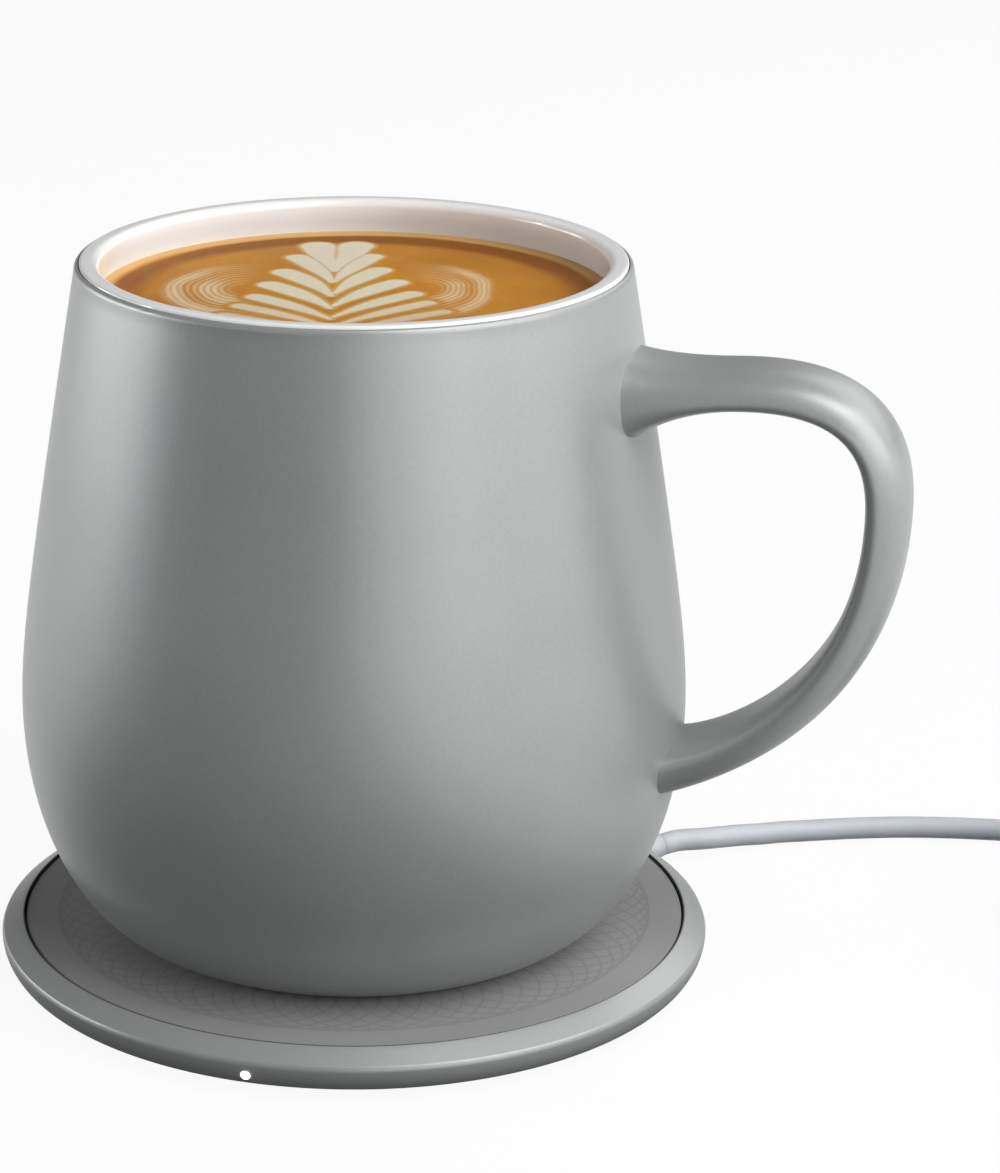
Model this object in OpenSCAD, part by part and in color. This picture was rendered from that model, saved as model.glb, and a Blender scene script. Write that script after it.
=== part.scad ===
// Self-heating mug on a round powered coaster with a fixed cord
// Origin at the centre of the coaster's foot, +Z up, mug handle along +X, light at -Y

/* [Coaster] */
// Outside diameter of the coaster
coaster_d = 106.6; // [98:0.2:124]
// Height of the rim's inner edge above the table
coaster_h = 7.4; // [7.2:0.1:10]
// Width of the sloping rim round the pad
rim_w = 3.4; // [2.5:0.1:5]
// Fall of the rim from the pad out to the edge
rim_drop = 1.9; // [1:0.1:2.2]
// How far the side curves in at its lower edge
side_in = 3; // [1.5:0.1:3.2]
// Width of the ledge that carries the top plate
ledge_w = 1.3; // [0.8:0.1:2]
// Diameter of the anti-slip foot
foot_d = 94; // [60:1:96]
// Thickness of the anti-slip foot
foot_t = 0.9; // [0.5:0.1:1.2]
// Thickness of the bottom plate
base_t = 1.3; // [1.2:0.1:1.6]
// Thickness of the plate under the pad
plate_t = 0.8; // [0.5:0.1:1]
// Thickness of the pad
pad_t = 0.7; // [0.4:0.1:1]
// Depth of the pad below the rim
pad_drop = 0.3; // [0.1:0.1:0.6]
// Width of the groove round the pad
pad_gap = 0.3; // [0.1:0.05:0.6]

/* [Coaster works] */
// Flat-to-flat thickness of the winding wire in both coils
wire_t = 0.9; // [0.6:0.1:1]
// Turns of each flat winding
coil_turns = 8; // [4:1:9]
// Distance from turn to turn of each winding
coil_pitch = 1.5; // [1.48:0.02:1.7]
// Clear width round the receiver's winding and ferrite inside its case
coil_clear = 2.7; // [2:0.1:4]
// Thickness of each ferrite disc
ferrite_t = 0.7; // [0.4:0.1:0.9]
// Thickness of the coaster's circuit board
board_t = 0.8; // [0.6:0.1:1]
// Thread diameter of the small screws
screw_d = 1.7; // [1.4:0.1:2]
// Head diameter of the small screws
screw_head_d = 3.2; // [2.6:0.1:3.6]
// Head height of the small screws
screw_head_t = 0.6; // [0.4:0.1:0.7]
// Diameter of the lit dot
light_d = 1.5; // [1:0.1:1.8]
// Height of the lit dot above the table
light_h = 3.2; // [3:0.1:3.6]

/* [Mug] */
// Height of the mug from its foot to its lip
mug_h = 100.8; // [90:0.2:120]
// Outside diameter at the rim
rim_d = 79.9; // [74:0.1:86]
// How far the belly, the widest part, stays inside the pad's edge
belly_in = 0.35; // [0:0.05:3]
// Height of the belly above the mug's foot
belly_h = 34.3; // [30:0.1:42]
// How far the belly rounds in towards the base
belly_round = 19.1; // [15:0.1:20]
// Thickness of the outer wall
shell_t = 1.9; // [1.6:0.1:2.2]
// Thickness of the inner cup's wall
liner_t = 1.5; // [1.2:0.1:2]
// Thickness of the inner cup's floor
floor_t = 2; // [1.5:0.1:4]
// Widest air gap between the two walls
air_gap = 2; // [1:0.1:3]
// Height of the lip above the outer wall's top
lip_rise = 0.4; // [0.2:0.1:1]
// Depth of the lip's seat in the outer wall
lip_seat = 1.4; // [1:0.1:2.5]
// Width of the fine gap between the lip and the outer wall
lip_gap = 0.15; // [0.1:0.05:0.3]

/* [Mug works] */
// Thickness of the soft foot under the mug
mug_foot_t = 0.6; // [0.4:0.1:1]
// Thickness of the plate that closes the mug's base
cover_t = 1.5; // [1.4:0.1:2]
// Distance of the receiver's case from the edge of the mug's base opening
case_in = 4; // [4:0.1:6]
// Wall of that case
case_wall = 1.8; // [1.2:0.1:2]
// Height of that case
case_h = 10.3; // [9:0.1:14]
// Thickness of the receiver's circuit board
receiver_t = 1; // [0.8:0.1:1.6]
// Thickness of the insulation under the heater
insulation_t = 3; // [2.6:0.1:5]
// Thickness of the heating film
film_t = 0.3; // [0.2:0.1:0.6]
// Thickness of the heat spreader
spreader_t = 1.2; // [0.8:0.1:2]

/* [Handle] */
// Reach of the handle's middle line beyond the belly
handle_out = 29.15; // [24:0.05:40]
// Depth of the handle's upper root below the lip
handle_drop = 16.6; // [13:0.2:22]
// Height of the handle's outermost point, as a share of the way from the lower root to the upper one
handle_bow = 0.75; // [0.6:0.01:0.85]
// Height of the handle's lower root
handle_low_h = 29.2; // [26:0.2:36]
// Thickness of the strap
handle_t = 6.3; // [4:0.1:9]
// Thickness of the strap at its upper root
handle_root_t = 13; // [9:0.1:15]
// Thickness of the strap at its lower root
handle_tip_t = 7.6; // [6:0.1:10]
// Width of the strap at its waist
handle_w = 14.4; // [10:0.1:18]
// Width of the strap at its upper root
handle_root_w = 17.5; // [12:0.1:20]
// Width of the strap at its lower root
handle_tip_w = 16.5; // [12:0.1:20]

/* [Cord] */
// Diameter of the cord
cord_d = 3.5; // [3:0.1:3.6]
// Direction in which the cord leaves the coaster, from +X
cord_angle = 50; // [40:1:60]
// Height of the cord where it leaves the coaster
cord_h = 3.1; // [3:0.1:3.2]
// Length of the boot round the cord at the coaster
boot_l = 5.5; // [4:0.5:8]
// Turns of the put-away coil in each of its two layers
hank_turns = 4; // [2:1:4]
// Distance between the coil's turns and between its layers
hank_pitch = 4; // [4:0.1:4.4]
// Radius of the coil's innermost turn
hank_r = 12.5; // [11:0.5:14]
// Width of the strap that ties the coil
tie_w = 8; // [4:1:12]
// Thickness of that strap
tie_t = 0.6; // [0.4:0.1:1]

/* [Plug] */
// Width of the plug's grip
plug_w = 15.5; // [13:0.5:18]
// Thickness of the plug's grip
plug_t = 7.6; // [7:0.1:9]
// Length of the plug's grip
plug_l = 19; // [14:1:26]
// Length of the tapered sleeve behind the plug
plug_relief_l = 9; // [6:1:14]

/* [Hidden] */

$fn = 96;
eps = 0.01;

// Colours
grey_coat = [0.62, 0.64, 0.63];
grey_pad = [0.55, 0.54, 0.53];
white_glaze = [0.95, 0.95, 0.94];
dark_rubber = [0.2, 0.2, 0.21];
dark_plastic = [0.25, 0.26, 0.27];
board_green = [0.1, 0.35, 0.2];
chip_black = [0.12, 0.12, 0.13];
ceramic_tan = [0.72, 0.6, 0.42];
copper = [0.78, 0.45, 0.25];
ferrite_grey = [0.22, 0.21, 0.22];
steel = [0.75, 0.76, 0.78];
foil_amber = [0.75, 0.5, 0.15];
foam_white = [0.88, 0.87, 0.83];
cord_grey = [0.8, 0.82, 0.86];
lamp_white = [1, 1, 0.97];

// Coaster levels and radii
coaster_r = coaster_d / 2;
open_r = coaster_r - rim_w;
cavity_r = open_r - ledge_w;
edge_soft = 0.25;
edge_h = 0.6;
housing_lift = 0.1;
side_steps = 10;
housing_z = foot_t + housing_lift;
edge_z = coaster_h - rim_drop;
side_z = edge_z - edge_h;
pad_top = coaster_h - pad_drop;
plate_top = pad_top - pad_t;
plate_z = plate_top - plate_t;
base_top = foot_t + base_t;
base_gap = 0.1;
base_r = cavity_r - base_gap;

// Mug levels and radii, counted from the mug's foot
rim_r = rim_d / 2;
belly_r = open_r - pad_gap - belly_in;
base_cut = 0.4;
neck_bend = 0.185;
shell_lift = 0.3;
shell_top = mug_h - lip_rise;
shell_edge_h = 1;
shell_rim_w = 0.45;
base_edge_w = 1;
base_in_r = mug_r(shell_lift) - base_edge_w;
cover_gap = 0.1;
cover_r = base_in_r - cover_gap;
cover_top = mug_foot_t + cover_t;
base_ring_top = cover_top + 0.3;
mug_foot_inset = 0.4;
seat_z = shell_top - lip_seat;
seat_r = mug_r(shell_top) - shell_rim_w;
shell_edge_w = mug_r(shell_top - shell_edge_h) - seat_r;
lip_r = seat_r - lip_gap;
lip_soft_out = 0.5;
lip_soft_in = 1.2;
liner_gap = 0.2;

// Heater and receiver stack, counted from the mug's foot
case_r = base_in_r - case_in;
case_top = cover_top + case_h;
insulation_top = case_top + insulation_t;
film_top = insulation_top + film_t;
liner_z = film_top + spreader_t;
floor_z = liner_z + floor_t;
floor_out = 1;
floor_r = case_r + floor_out;
knee_rise = 22;
knee_z = liner_z + knee_rise;
spreader_inset = 2;
film_inset = 3;
receiver_coil_gap = 0.2;
receiver_coil_mid = cover_top + receiver_coil_gap + wire_t / 2;
receiver_ferrite_z = receiver_coil_mid + wire_t / 2;
receiver_z = receiver_ferrite_z + ferrite_t;
receiver_top = receiver_z + receiver_t;
receiver_gap = 0.2;
receiver_r = case_r - case_wall - receiver_gap;
case_ledge_w = 1.5;
case_ledge_t = 1;
cover_boss_out = 1.2;
cover_boss_h = 5;
cover_boss_lift = 0.1;
cover_ring_r = case_r + cover_boss_out;
cover_angles = [30, 150, 270];
cover_screw_l = 4.4;
gasket_w = 0.9;
gasket_t = 0.8;
sensor_d = 2.4;
sensor_t = 2.2;
sensor_hole_d = 3;
lead_d = 1;
lead_hole_d = 1.4;
lead_spots = [[9, 6], [-9, 6]];
receiver_chip_spots = [[0, 0], [0, -12], [10, -8], [-10, -8]];
receiver_chip_sizes = [[6, 6, 1], [5, 5, 2], [4, 4, 1], [6, 5, 2]];

// Winding and board stack of the coaster
coil_head = 0.3;
wire_r = wire_t / sqrt(3);
ferrite_margin = 1.5;
ferrite_r = case_r - case_wall - coil_clear;
coil_r = ferrite_r - ferrite_margin - coil_turns * coil_pitch;
coil_mid_z = plate_z - coil_head - wire_t / 2;
ferrite_top = coil_mid_z - wire_t / 2;
ferrite_z = ferrite_top - ferrite_t;
pedestal_inset = 1.5;
board_lift = 0.4;
board_z = base_top + board_lift;
board_top = board_z + board_t;
board_clear = 1.2;
board_in_r = ferrite_r + board_clear;
board_margin = 4.6;
board_r = cavity_r - board_margin;
board_mid_r = (board_in_r + board_r) / 2;
board_flat = 0.5;
rib_w = 3;
chip_angles = [185, 215, 245, 320];
chip_sizes = [[7, 7, 1], [5, 5, 0.9], [6, 4, 1.2], [6, 6, 1.6]];
capacitor_angles = [100 : 12 : 160];
capacitor_size = [5.7, 5, 1.6];

// Screw bosses of the coaster
boss_r = 2.1;
boss_inset = 2;
boss_ring_r = cavity_r - boss_inset;
boss_angles = [20, 110, 200, 290];
boss_head = 0.2;
boss_skin = 0.4;
thread_gap = 0.02;
screw_l = plate_z - boss_head - boss_skin - foot_t - screw_head_t;
head_gap = 0.2;

// Lamp and light pipe
led_l = 1.6;
led_w = 1;
led_t = 1;
pipe_gap = 0.02;
pipe_proud = 0.1;
led_y = board_r - board_flat;

// Profile sampling
belly_steps = 16;
taper_steps = 14;
corner_steps = 6;
knee_steps = 12;

// Handle
handle_sink = 2.6;
handle_rise = 12.9;
handle_foot_out = 2;
handle_top_h = mug_h - handle_drop;
handle_h = handle_top_h - handle_low_h;
handle_lead = 0.2371 * handle_h;
handle_pull_up = 0.4099 * handle_h;
handle_pull_down = 0.5809 * handle_h;
handle_square = 2.6;
handle_stations = 22;
handle_sides = 24;
handle_cut_sides = 288;
flare_top = 0.17;
flare_low = 0.25;

// Boot where the cord leaves the coaster
cord_r = cord_d / 2;
boot_neck_d = cord_d + 0.5;
boot_d = cord_d + 1.2;
boot_stand = 0.1;
boot_flange_w = 7;
boot_flange_t = 1.6;
boot_flange_gap = 0.1;
boot_tip_r = coaster_r + boot_stand + boot_l;
cord_notch_w = boot_neck_d + 0.6;
lead_wire_d = 0.9;
lead_wire_gap = 1.4;
lead_wire_in = 3;
lead_wire_z = board_top + lead_wire_d / 2;

// Route of the cord from the boot's tip to the put-away coil
boot_tip = [boot_tip_r * cos(cord_angle), boot_tip_r * sin(cord_angle), cord_h];
boot_out = boot_tip + cord_d * [cos(cord_angle), sin(cord_angle), 0];
cord_points = [[43.4, 50, 2.9], [46.2, 52.4, 2.6], [49, 54.8, 2.3], [52, 57, 2], [55, 59, 1.9],
  [58, 60.6, 1.8], [62, 62.6, 1.75], [67, 64.7, 1.75], [73, 66.9, 1.75], [79, 68.5, 1.75],
  [85, 69.6, 1.8], [91, 70.2, 1.9], [98, 70.5, 2.1], [106, 70.5, 2.4], [114, 70.5, 2.6]];
tail_points = [[155.5, 34, 6.4], [155.5, 28, 5.5], [155.5, 22, 4.5], [155.5, 17, 3.9]];
cord_sides = 8;

// Put-away coil of the cord
hank_x = 126;
hank_y = 42;
hank_rings = 24;
hank_sides = 6;
hank_out_r = hank_r + hank_turns * hank_pitch;
hank_loops = 2 * hank_turns + 0.25;
hank_climb = 0.5;
hank_soft = 0.08;
tie_gap = 0.3;
hank_z = tie_t + tie_gap + cord_r * cos(30);
hank_near = 12;

// Plug on the far end of the cord
plug_x = hank_x + hank_r + (hank_turns + 0.25) * hank_pitch;
plug_y = 12;
plug_z = plug_t / 2;
plug_corner = 2.2;
relief_d = 6;
shell_w = 12;
shell_h = 4.5;
shell_l = 12;
shell_skin = 0.3;
insert_t = 1.9;
insert_short = 0.8;

// Outside radius of the mug at height z above its foot
function mug_r(z) = z < belly_h
  ? belly_r - belly_round * (1 - ellipse_at((belly_h - z) / (belly_h + base_cut)))
  : belly_r - (belly_r - rim_r) * taper_at((z - belly_h) / (mug_h - belly_h));
function ellipse_at(s) = sqrt(1 - s * s);
function taper_at(s) = (sqrt(neck_bend * neck_bend + s * s) - neck_bend)
  / (sqrt(neck_bend * neck_bend + 1) - neck_bend);

// Heights that step finely near the base and evenly up the taper
function mug_heights(low, high) = concat(
  [for (i = [0 : belly_steps - 1]) low + (belly_h - low) * (1 - cos(90 * i / belly_steps))],
  [for (i = [0 : taper_steps]) belly_h + (high - belly_h) * i / taper_steps]);
function quarter(x, z, r, from) = [for (i = [0 : corner_steps])
  let (a = from + 90 * i / corner_steps) [x + r * cos(a), z + r * sin(a)]];

// Outside and inside radius of the inner cup
function wall_gap(z) = liner_gap + (air_gap - liner_gap) * (seat_z - min(z, seat_z)) / (seat_z - knee_z);
function cup_out(z) = mug_r(z) - shell_t - wall_gap(z);
function knee_arc(r, low) = [for (i = [0 : knee_steps]) let (a = 90 * i / knee_steps)
  [floor_r + (r - floor_r) * sin(a), knee_z - (knee_z - low) * cos(a)]];
function cup_heights(high) = [for (i = [1 : taper_steps]) knee_z + (high - knee_z) * i / taper_steps];

// Radius of the coaster's curved side at height z
function side_r(z) = coaster_r - side_in * (1 - ellipse_at((side_z - z) / (side_z - housing_z)));

// Swept skins: each ring runs clockwise as seen along the path
function unit(v) = v / norm(v);
function heading(p, i) = unit(p[min(i + 1, len(p) - 1)] - p[max(i - 1, 0)]);
function tube_rings(p, r, sides, phase) = [for (i = [0 : len(p) - 1])
  let (t = heading(p, i), n1 = unit(cross([0, 0, 1], t)), n2 = cross(t, n1))
  [for (j = [0 : sides - 1]) let (a = 360 * (j + phase) / sides) p[i] + r * (cos(a) * n1 + sin(a) * n2)]];
function skin_points(rings) = [for (ring = rings) each ring];
function skin_faces(count, n) = concat(
  [for (j = [1 : n - 2]) [0, j, j + 1]],
  [for (i = [0 : count - 2], j = [0 : n - 1]) let (k = (j + 1) % n) each
    [[i * n + j, (i + 1) * n + j, (i + 1) * n + k], [i * n + j, (i + 1) * n + k, i * n + k]]],
  [for (j = [1 : n - 2]) let (e = (count - 1) * n) [e, e + j + 1, e + j]]);
function path_length(p) = len(p) < 2 ? 0 : [for (i = 1, s = norm(p[1] - p[0]); i < len(p);
  i = i + 1, s = i < len(p) ? s + norm(p[i] - p[i - 1]) : s) s][len(p) - 2];
function least_gap(p, d, near) = min([for (i = [0 : len(p) - 1 - near], j = [i + near : len(p) - 1])
  norm(p[i] - p[j])]) - d;

module skin(rings) {
  polyhedron(skin_points(rings), skin_faces(len(rings), len(rings[0])));
}

module tube(points, r, sides, phase) {
  skin(tube_rings(points, r, sides, phase));
}

module turned(angle, r, z) {
  rotate([0, 0, angle]) translate([r, 0, z]) children();
}

module disc(r, z, t) {
  translate([0, 0, z]) cylinder(r = r, h = t);
}

module ring(r_out, r_in, z, t) {
  translate([0, 0, z]) difference() {
    cylinder(r = r_out, h = t);
    translate([0, 0, -eps]) cylinder(r = r_in, h = t + 2 * eps);
  }
}

module block(angle, r, z, size) {
  turned(angle, r, z) translate([-size[0] / 2, -size[1] / 2, 0]) cube(size);
}

// Small screw with its head down and its tip up
module screw(length) {
  cylinder(d = screw_head_d, h = screw_head_t);
  cylinder(d = screw_d, h = screw_head_t + length);
}

module screw_cut(depth, length) {
  translate([0, 0, -eps]) cylinder(d = screw_head_d + 2 * head_gap, h = screw_head_t + eps);
  cylinder(d = screw_d + 2 * thread_gap, h = depth + length);
}

// Flat winding that lies in the plane z
function winding_points(z) = [for (i = [0 : coil_turns * hank_rings])
  let (a = 360 * i / hank_rings, r = coil_r + coil_pitch * i / hank_rings) [r * cos(a), r * sin(a), z]];

module winding(z) {
  p = winding_points(z);
  echo(str("least gap in a winding: ", least_gap(p, 2 * wire_r, hank_near), " mm"));
  tube(p, wire_r, hank_sides, 0);
}

// Coaster pieces
module coaster_foot() {
  color(dark_rubber) disc(foot_d / 2, 0, foot_t);
}

module coaster_base() {
  color(dark_plastic) difference() {
    union() {
      disc(base_r, foot_t, base_t);
      disc(ferrite_r - pedestal_inset, base_top - eps, ferrite_z - base_top + eps);
      ring(board_mid_r + rib_w / 2, board_mid_r - rib_w / 2, base_top - eps, board_lift + eps);
    }
    for (a = boss_angles) turned(a, boss_ring_r, foot_t) screw_cut(base_t, screw_l);
    block(cord_angle, base_r, foot_t - eps, [2 * boot_flange_t, cord_notch_w, base_t + 2 * eps]);
  }
}

module base_screws() {
  color(steel) for (a = boss_angles) turned(a, boss_ring_r, foot_t) screw(screw_l);
}

module housing_profile() {
  polygon(concat(
    [[open_r, coaster_h], [coaster_r - edge_soft, edge_z]],
    [for (i = [0 : side_steps]) let (a = 90 * i / side_steps)
      [coaster_r - side_in * (1 - cos(a)), side_z - (side_z - housing_z) * sin(a)]],
    [[cavity_r, housing_z], [cavity_r, plate_z], [open_r, plate_z]]));
}

module coaster_housing() {
  color(grey_coat) difference() {
    union() {
      rotate_extrude() housing_profile();
      for (a = boss_angles) turned(a, boss_ring_r, base_top)
        cylinder(r = boss_r, h = plate_z - boss_head - base_top);
    }
    for (a = boss_angles) turned(a, boss_ring_r, foot_t)
      cylinder(d = screw_d + 2 * thread_gap, h = screw_head_t + screw_l);
    translate([0, -led_y, light_h]) rotate([90, 0, 0]) cylinder(d = light_d + 2 * pipe_gap, h = coaster_r);
    turned(cord_angle, cavity_r - boot_flange_t, cord_h) rotate([0, 90, 0])
      cylinder(d = boot_neck_d, h = coaster_r);
  }
}

module top_plate() {
  color(dark_plastic) disc(open_r - pad_gap, plate_z, plate_t);
}

module top_pad() {
  color(grey_pad) disc(open_r - pad_gap, plate_top, pad_t);
}

module transmit_ferrite() {
  color(ferrite_grey) disc(ferrite_r, ferrite_z, ferrite_t);
}

module transmit_coil() {
  color(copper) winding(coil_mid_z);
}

module control_board() {
  color(board_green) difference() {
    ring(board_r, board_in_r, board_z, board_t);
    block(-90, led_y + board_r / 2, board_z - eps, [board_r, board_r, board_t + 2 * eps]);
  }
}

module board_chips() {
  color(chip_black) for (i = [0 : len(chip_angles) - 1])
    block(chip_angles[i], board_mid_r, board_top, chip_sizes[i]);
}

module board_capacitors() {
  color(ceramic_tan) for (a = capacitor_angles) block(a, board_mid_r, board_top, capacitor_size);
}

module status_led() {
  color(lamp_white) translate([-led_l / 2, -led_y - led_w, light_h - led_t / 2]) cube([led_l, led_w, led_t]);
}

module light_pipe() {
  color(lamp_white) translate([0, -led_y - led_w, light_h]) rotate([90, 0, 0])
    cylinder(d = light_d, h = side_r(light_h) + pipe_proud - led_y - led_w);
}

module strain_relief() {
  flange_z = base_top + boot_flange_gap;
  flange_h = plate_z - boot_flange_gap - flange_z;
  color(cord_grey) {
    intersection() {
      block(cord_angle, cavity_r - boot_flange_t / 2, flange_z, [boot_flange_t, boot_flange_w, flange_h]);
      disc(cavity_r - pipe_gap, flange_z, flange_h);
    }
    turned(cord_angle, cavity_r - boot_flange_t / 2, cord_h) rotate([0, 90, 0])
      cylinder(d = boot_neck_d - 2 * pipe_gap, h = coaster_r + boot_stand - cavity_r + boot_flange_t / 2);
    turned(cord_angle, coaster_r + boot_stand - eps, cord_h) rotate([0, 90, 0])
      cylinder(d1 = boot_d, d2 = boot_neck_d, h = boot_l + eps);
  }
}

module lead_wires() {
  color(copper) for (side = [-1, 1]) rotate([0, 0, cord_angle])
    translate([board_r - lead_wire_in, side * lead_wire_gap, lead_wire_z]) rotate([0, 90, 0])
      cylinder(d = lead_wire_d, h = cavity_r - boot_flange_t - board_r + lead_wire_in);
}

// Cord pieces
function climb(s) = let (c = min(max(s / hank_climb + 0.5, 0), 1)) c * c * (3 - 2 * c);
function hank_point(t) = let (a = 90 - 360 * t, s = t - hank_turns,
  r = hank_r + hank_pitch * sqrt(s * s + hank_soft * hank_soft))
  [hank_x + r * cos(a), hank_y + r * sin(a), hank_z + hank_pitch * climb(s)];
hank_turn_points = [for (i = [0 : hank_loops * hank_rings]) hank_point(i / hank_rings)];
hank_start = hank_turn_points[0] - [cord_d, 0, 0];
hank_end = hank_turn_points[len(hank_turn_points) - 1] - [0, cord_d, 0];
hank_points = concat([hank_start], hank_turn_points, [hank_end]);
run_points = concat([boot_tip, boot_out], cord_points, [hank_start - [cord_d, 0, 0], hank_start]);
plug_face = [plug_x, plug_y, plug_z];
tail_route = concat([hank_end, hank_end - [0, cord_d / 2, 0]], tail_points,
  [plug_face + [0, cord_d, 0], plug_face]);

module cord_run() {
  color(cord_grey) tube(run_points, cord_r, cord_sides, 0.5);
}

module cord_coil() {
  echo(str("least gap in the cord's coil: ", least_gap(hank_points, cord_d, hank_near), " mm"));
  whole = path_length(run_points) + path_length(hank_points) + path_length(tail_route);
  echo(str("cord length: ", whole, " mm"));
  color(cord_grey) tube(hank_points, cord_r, hank_sides, 0);
}

module cord_tail() {
  color(cord_grey) tube(tail_route, cord_r, cord_sides, 0.5);
}

module cord_tie() {
  inner_turn = hank_r + hank_pitch / 2;
  in_low = sqrt(inner_turn * inner_turn - tie_w * tie_w / 4) - cord_r - tie_gap;
  in_high = hank_out_r - hank_pitch / 2 + cord_r + tie_gap;
  in_h = hank_pitch + 2 * (hank_z - tie_t);
  color(dark_rubber) translate([hank_x - tie_w / 2, hank_y - in_high - tie_t, 0]) difference() {
    cube([tie_w, in_high - in_low + 2 * tie_t, in_h + 2 * tie_t]);
    translate([-eps, tie_t, tie_t]) cube([tie_w + 2 * eps, in_high - in_low, in_h]);
  }
}

// Plug pieces, laid along -Y
module along_plug(offset_y) {
  translate([plug_x, plug_y - offset_y, plug_z]) rotate([90, 0, 0]) children();
}

module rounded_bar(w, h, r, length) {
  linear_extrude(length) {
    square([w - 2 * r, h], center = true);
    square([w, h - 2 * r], center = true);
    for (x = [-1, 1], y = [-1, 1]) translate([x * (w / 2 - r), y * (h / 2 - r)]) circle(r = r);
  }
}

module plug_relief() {
  color(cord_grey) along_plug(0) cylinder(d1 = cord_d + 0.5, d2 = relief_d, h = plug_relief_l);
}

module plug_body() {
  color(cord_grey) along_plug(plug_relief_l) rounded_bar(plug_w, plug_t, plug_corner, plug_l);
}

module plug_shell() {
  color(steel) along_plug(plug_relief_l + plug_l) difference() {
    translate([-shell_w / 2, -shell_h / 2, 0]) cube([shell_w, shell_h, shell_l]);
    translate([shell_skin - shell_w / 2, shell_skin - shell_h / 2, -eps])
      cube([shell_w - 2 * shell_skin, shell_h - 2 * shell_skin, shell_l + 2 * eps]);
  }
}

module plug_insert() {
  color(white_glaze) along_plug(plug_relief_l + plug_l)
    translate([shell_skin - shell_w / 2, shell_h / 2 - shell_skin - insert_t, 0])
      cube([shell_w - 2 * shell_skin, insert_t, shell_l - insert_short]);
}

// Mug pieces, drawn from the mug's own foot and stood on the pad
module on_pad() {
  translate([0, 0, pad_top]) children();
}

module mug_foot() {
  color(dark_rubber) on_pad() disc(cover_r - mug_foot_inset, 0, mug_foot_t);
}

module base_cover() {
  groove_z = mug_foot_t + (cover_t - gasket_t) / 2;
  color(dark_plastic) on_pad() difference() {
    disc(cover_r, mug_foot_t, cover_t);
    ring(cover_r + 1, base_in_r - gasket_w, groove_z, gasket_t);
    for (a = cover_angles) turned(a, cover_ring_r, mug_foot_t) screw_cut(cover_t, cover_screw_l);
  }
}

module base_gasket() {
  color(dark_rubber) on_pad()
    ring(base_in_r, base_in_r - gasket_w, mug_foot_t + (cover_t - gasket_t) / 2, gasket_t);
}

module cover_screws() {
  color(steel) on_pad() for (a = cover_angles) turned(a, cover_ring_r, mug_foot_t) screw(cover_screw_l);
}

module module_case() {
  in_r = case_r - case_wall;
  ledge_r = in_r - case_ledge_w;
  ledge_top = receiver_top + case_ledge_t;
  color(dark_plastic) on_pad() difference() {
    union() {
      rotate_extrude() polygon([[in_r, cover_top], [case_r, cover_top], [case_r, case_top], [in_r, case_top],
        [in_r, ledge_top], [ledge_r, ledge_top], [ledge_r, receiver_top], [in_r, receiver_top]]);
      for (a = cover_angles) turned(a, cover_ring_r, cover_top + cover_boss_lift)
        cylinder(r = boss_r, h = cover_boss_h);
    }
    for (a = cover_angles) turned(a, cover_ring_r, mug_foot_t)
      cylinder(d = screw_d + 2 * thread_gap, h = screw_head_t + cover_screw_l);
  }
}

module receiver_coil() {
  color(copper) on_pad() winding(receiver_coil_mid);
}

module receiver_ferrite() {
  color(ferrite_grey) on_pad() disc(ferrite_r, receiver_ferrite_z, ferrite_t);
}

module receiver_board() {
  color(board_green) on_pad() disc(receiver_r, receiver_z, receiver_t);
}

module receiver_chips() {
  color(chip_black) on_pad() for (i = [0 : len(receiver_chip_spots) - 1])
    let (p = receiver_chip_spots[i], size = receiver_chip_sizes[i])
      translate([p[0] - size[0] / 2, p[1] - size[1] / 2, receiver_top]) cube(size);
}

module heater_leads() {
  color(copper) on_pad() for (p = lead_spots) translate([p[0], p[1], receiver_top])
    cylinder(d = lead_d, h = insulation_top - receiver_top);
}

module temperature_sensor() {
  color(ceramic_tan) on_pad() disc(sensor_d / 2, insulation_top - sensor_t, sensor_t);
}

module insulation_disc() {
  color(foam_white) on_pad() difference() {
    disc(case_r, case_top, insulation_t);
    disc(sensor_hole_d / 2, case_top - eps, insulation_t + 2 * eps);
    for (p = lead_spots) translate([p[0], p[1], case_top - eps])
      cylinder(d = lead_hole_d, h = insulation_t + 2 * eps);
  }
}

module heater_film() {
  color(foil_amber) on_pad() disc(floor_r - film_inset, insulation_top, film_t);
}

module heat_spreader() {
  color(steel) on_pad() disc(floor_r - spreader_inset, film_top, spreader_t);
}

module mug_liner() {
  lip_in_z = mug_h - lip_soft_in;
  lip_in_r = cup_out(lip_in_z) - liner_t;
  color(white_glaze) on_pad() rotate_extrude() polygon(concat(
    [[0, liner_z]],
    knee_arc(cup_out(knee_z), liner_z),
    [for (z = cup_heights(seat_z)) [cup_out(z), z]],
    [[lip_r, seat_z]],
    quarter(lip_r - lip_soft_out, mug_h - lip_soft_out, lip_soft_out, 0),
    quarter(lip_in_r + lip_soft_in, lip_in_z, lip_soft_in, 90),
    [for (i = [1 : taper_steps - 1]) let (z = lip_in_z + (knee_z - lip_in_z) * i / taper_steps)
      [cup_out(z) - liner_t, z]],
    [for (i = [knee_steps : -1 : 0]) knee_arc(cup_out(knee_z) - liner_t, floor_z)[i]],
    [[0, floor_z]]));
}

// Outer line of the shell from its lower edge up to its rounded top
function shell_line() = concat(
  [for (z = mug_heights(shell_lift, shell_top - shell_edge_h)) [mug_r(z), z]],
  [for (p = quarter(0, 0, 1, 0)) [seat_r + shell_edge_w * p[0], shell_top - shell_edge_h * (1 - p[1])]]);

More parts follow.
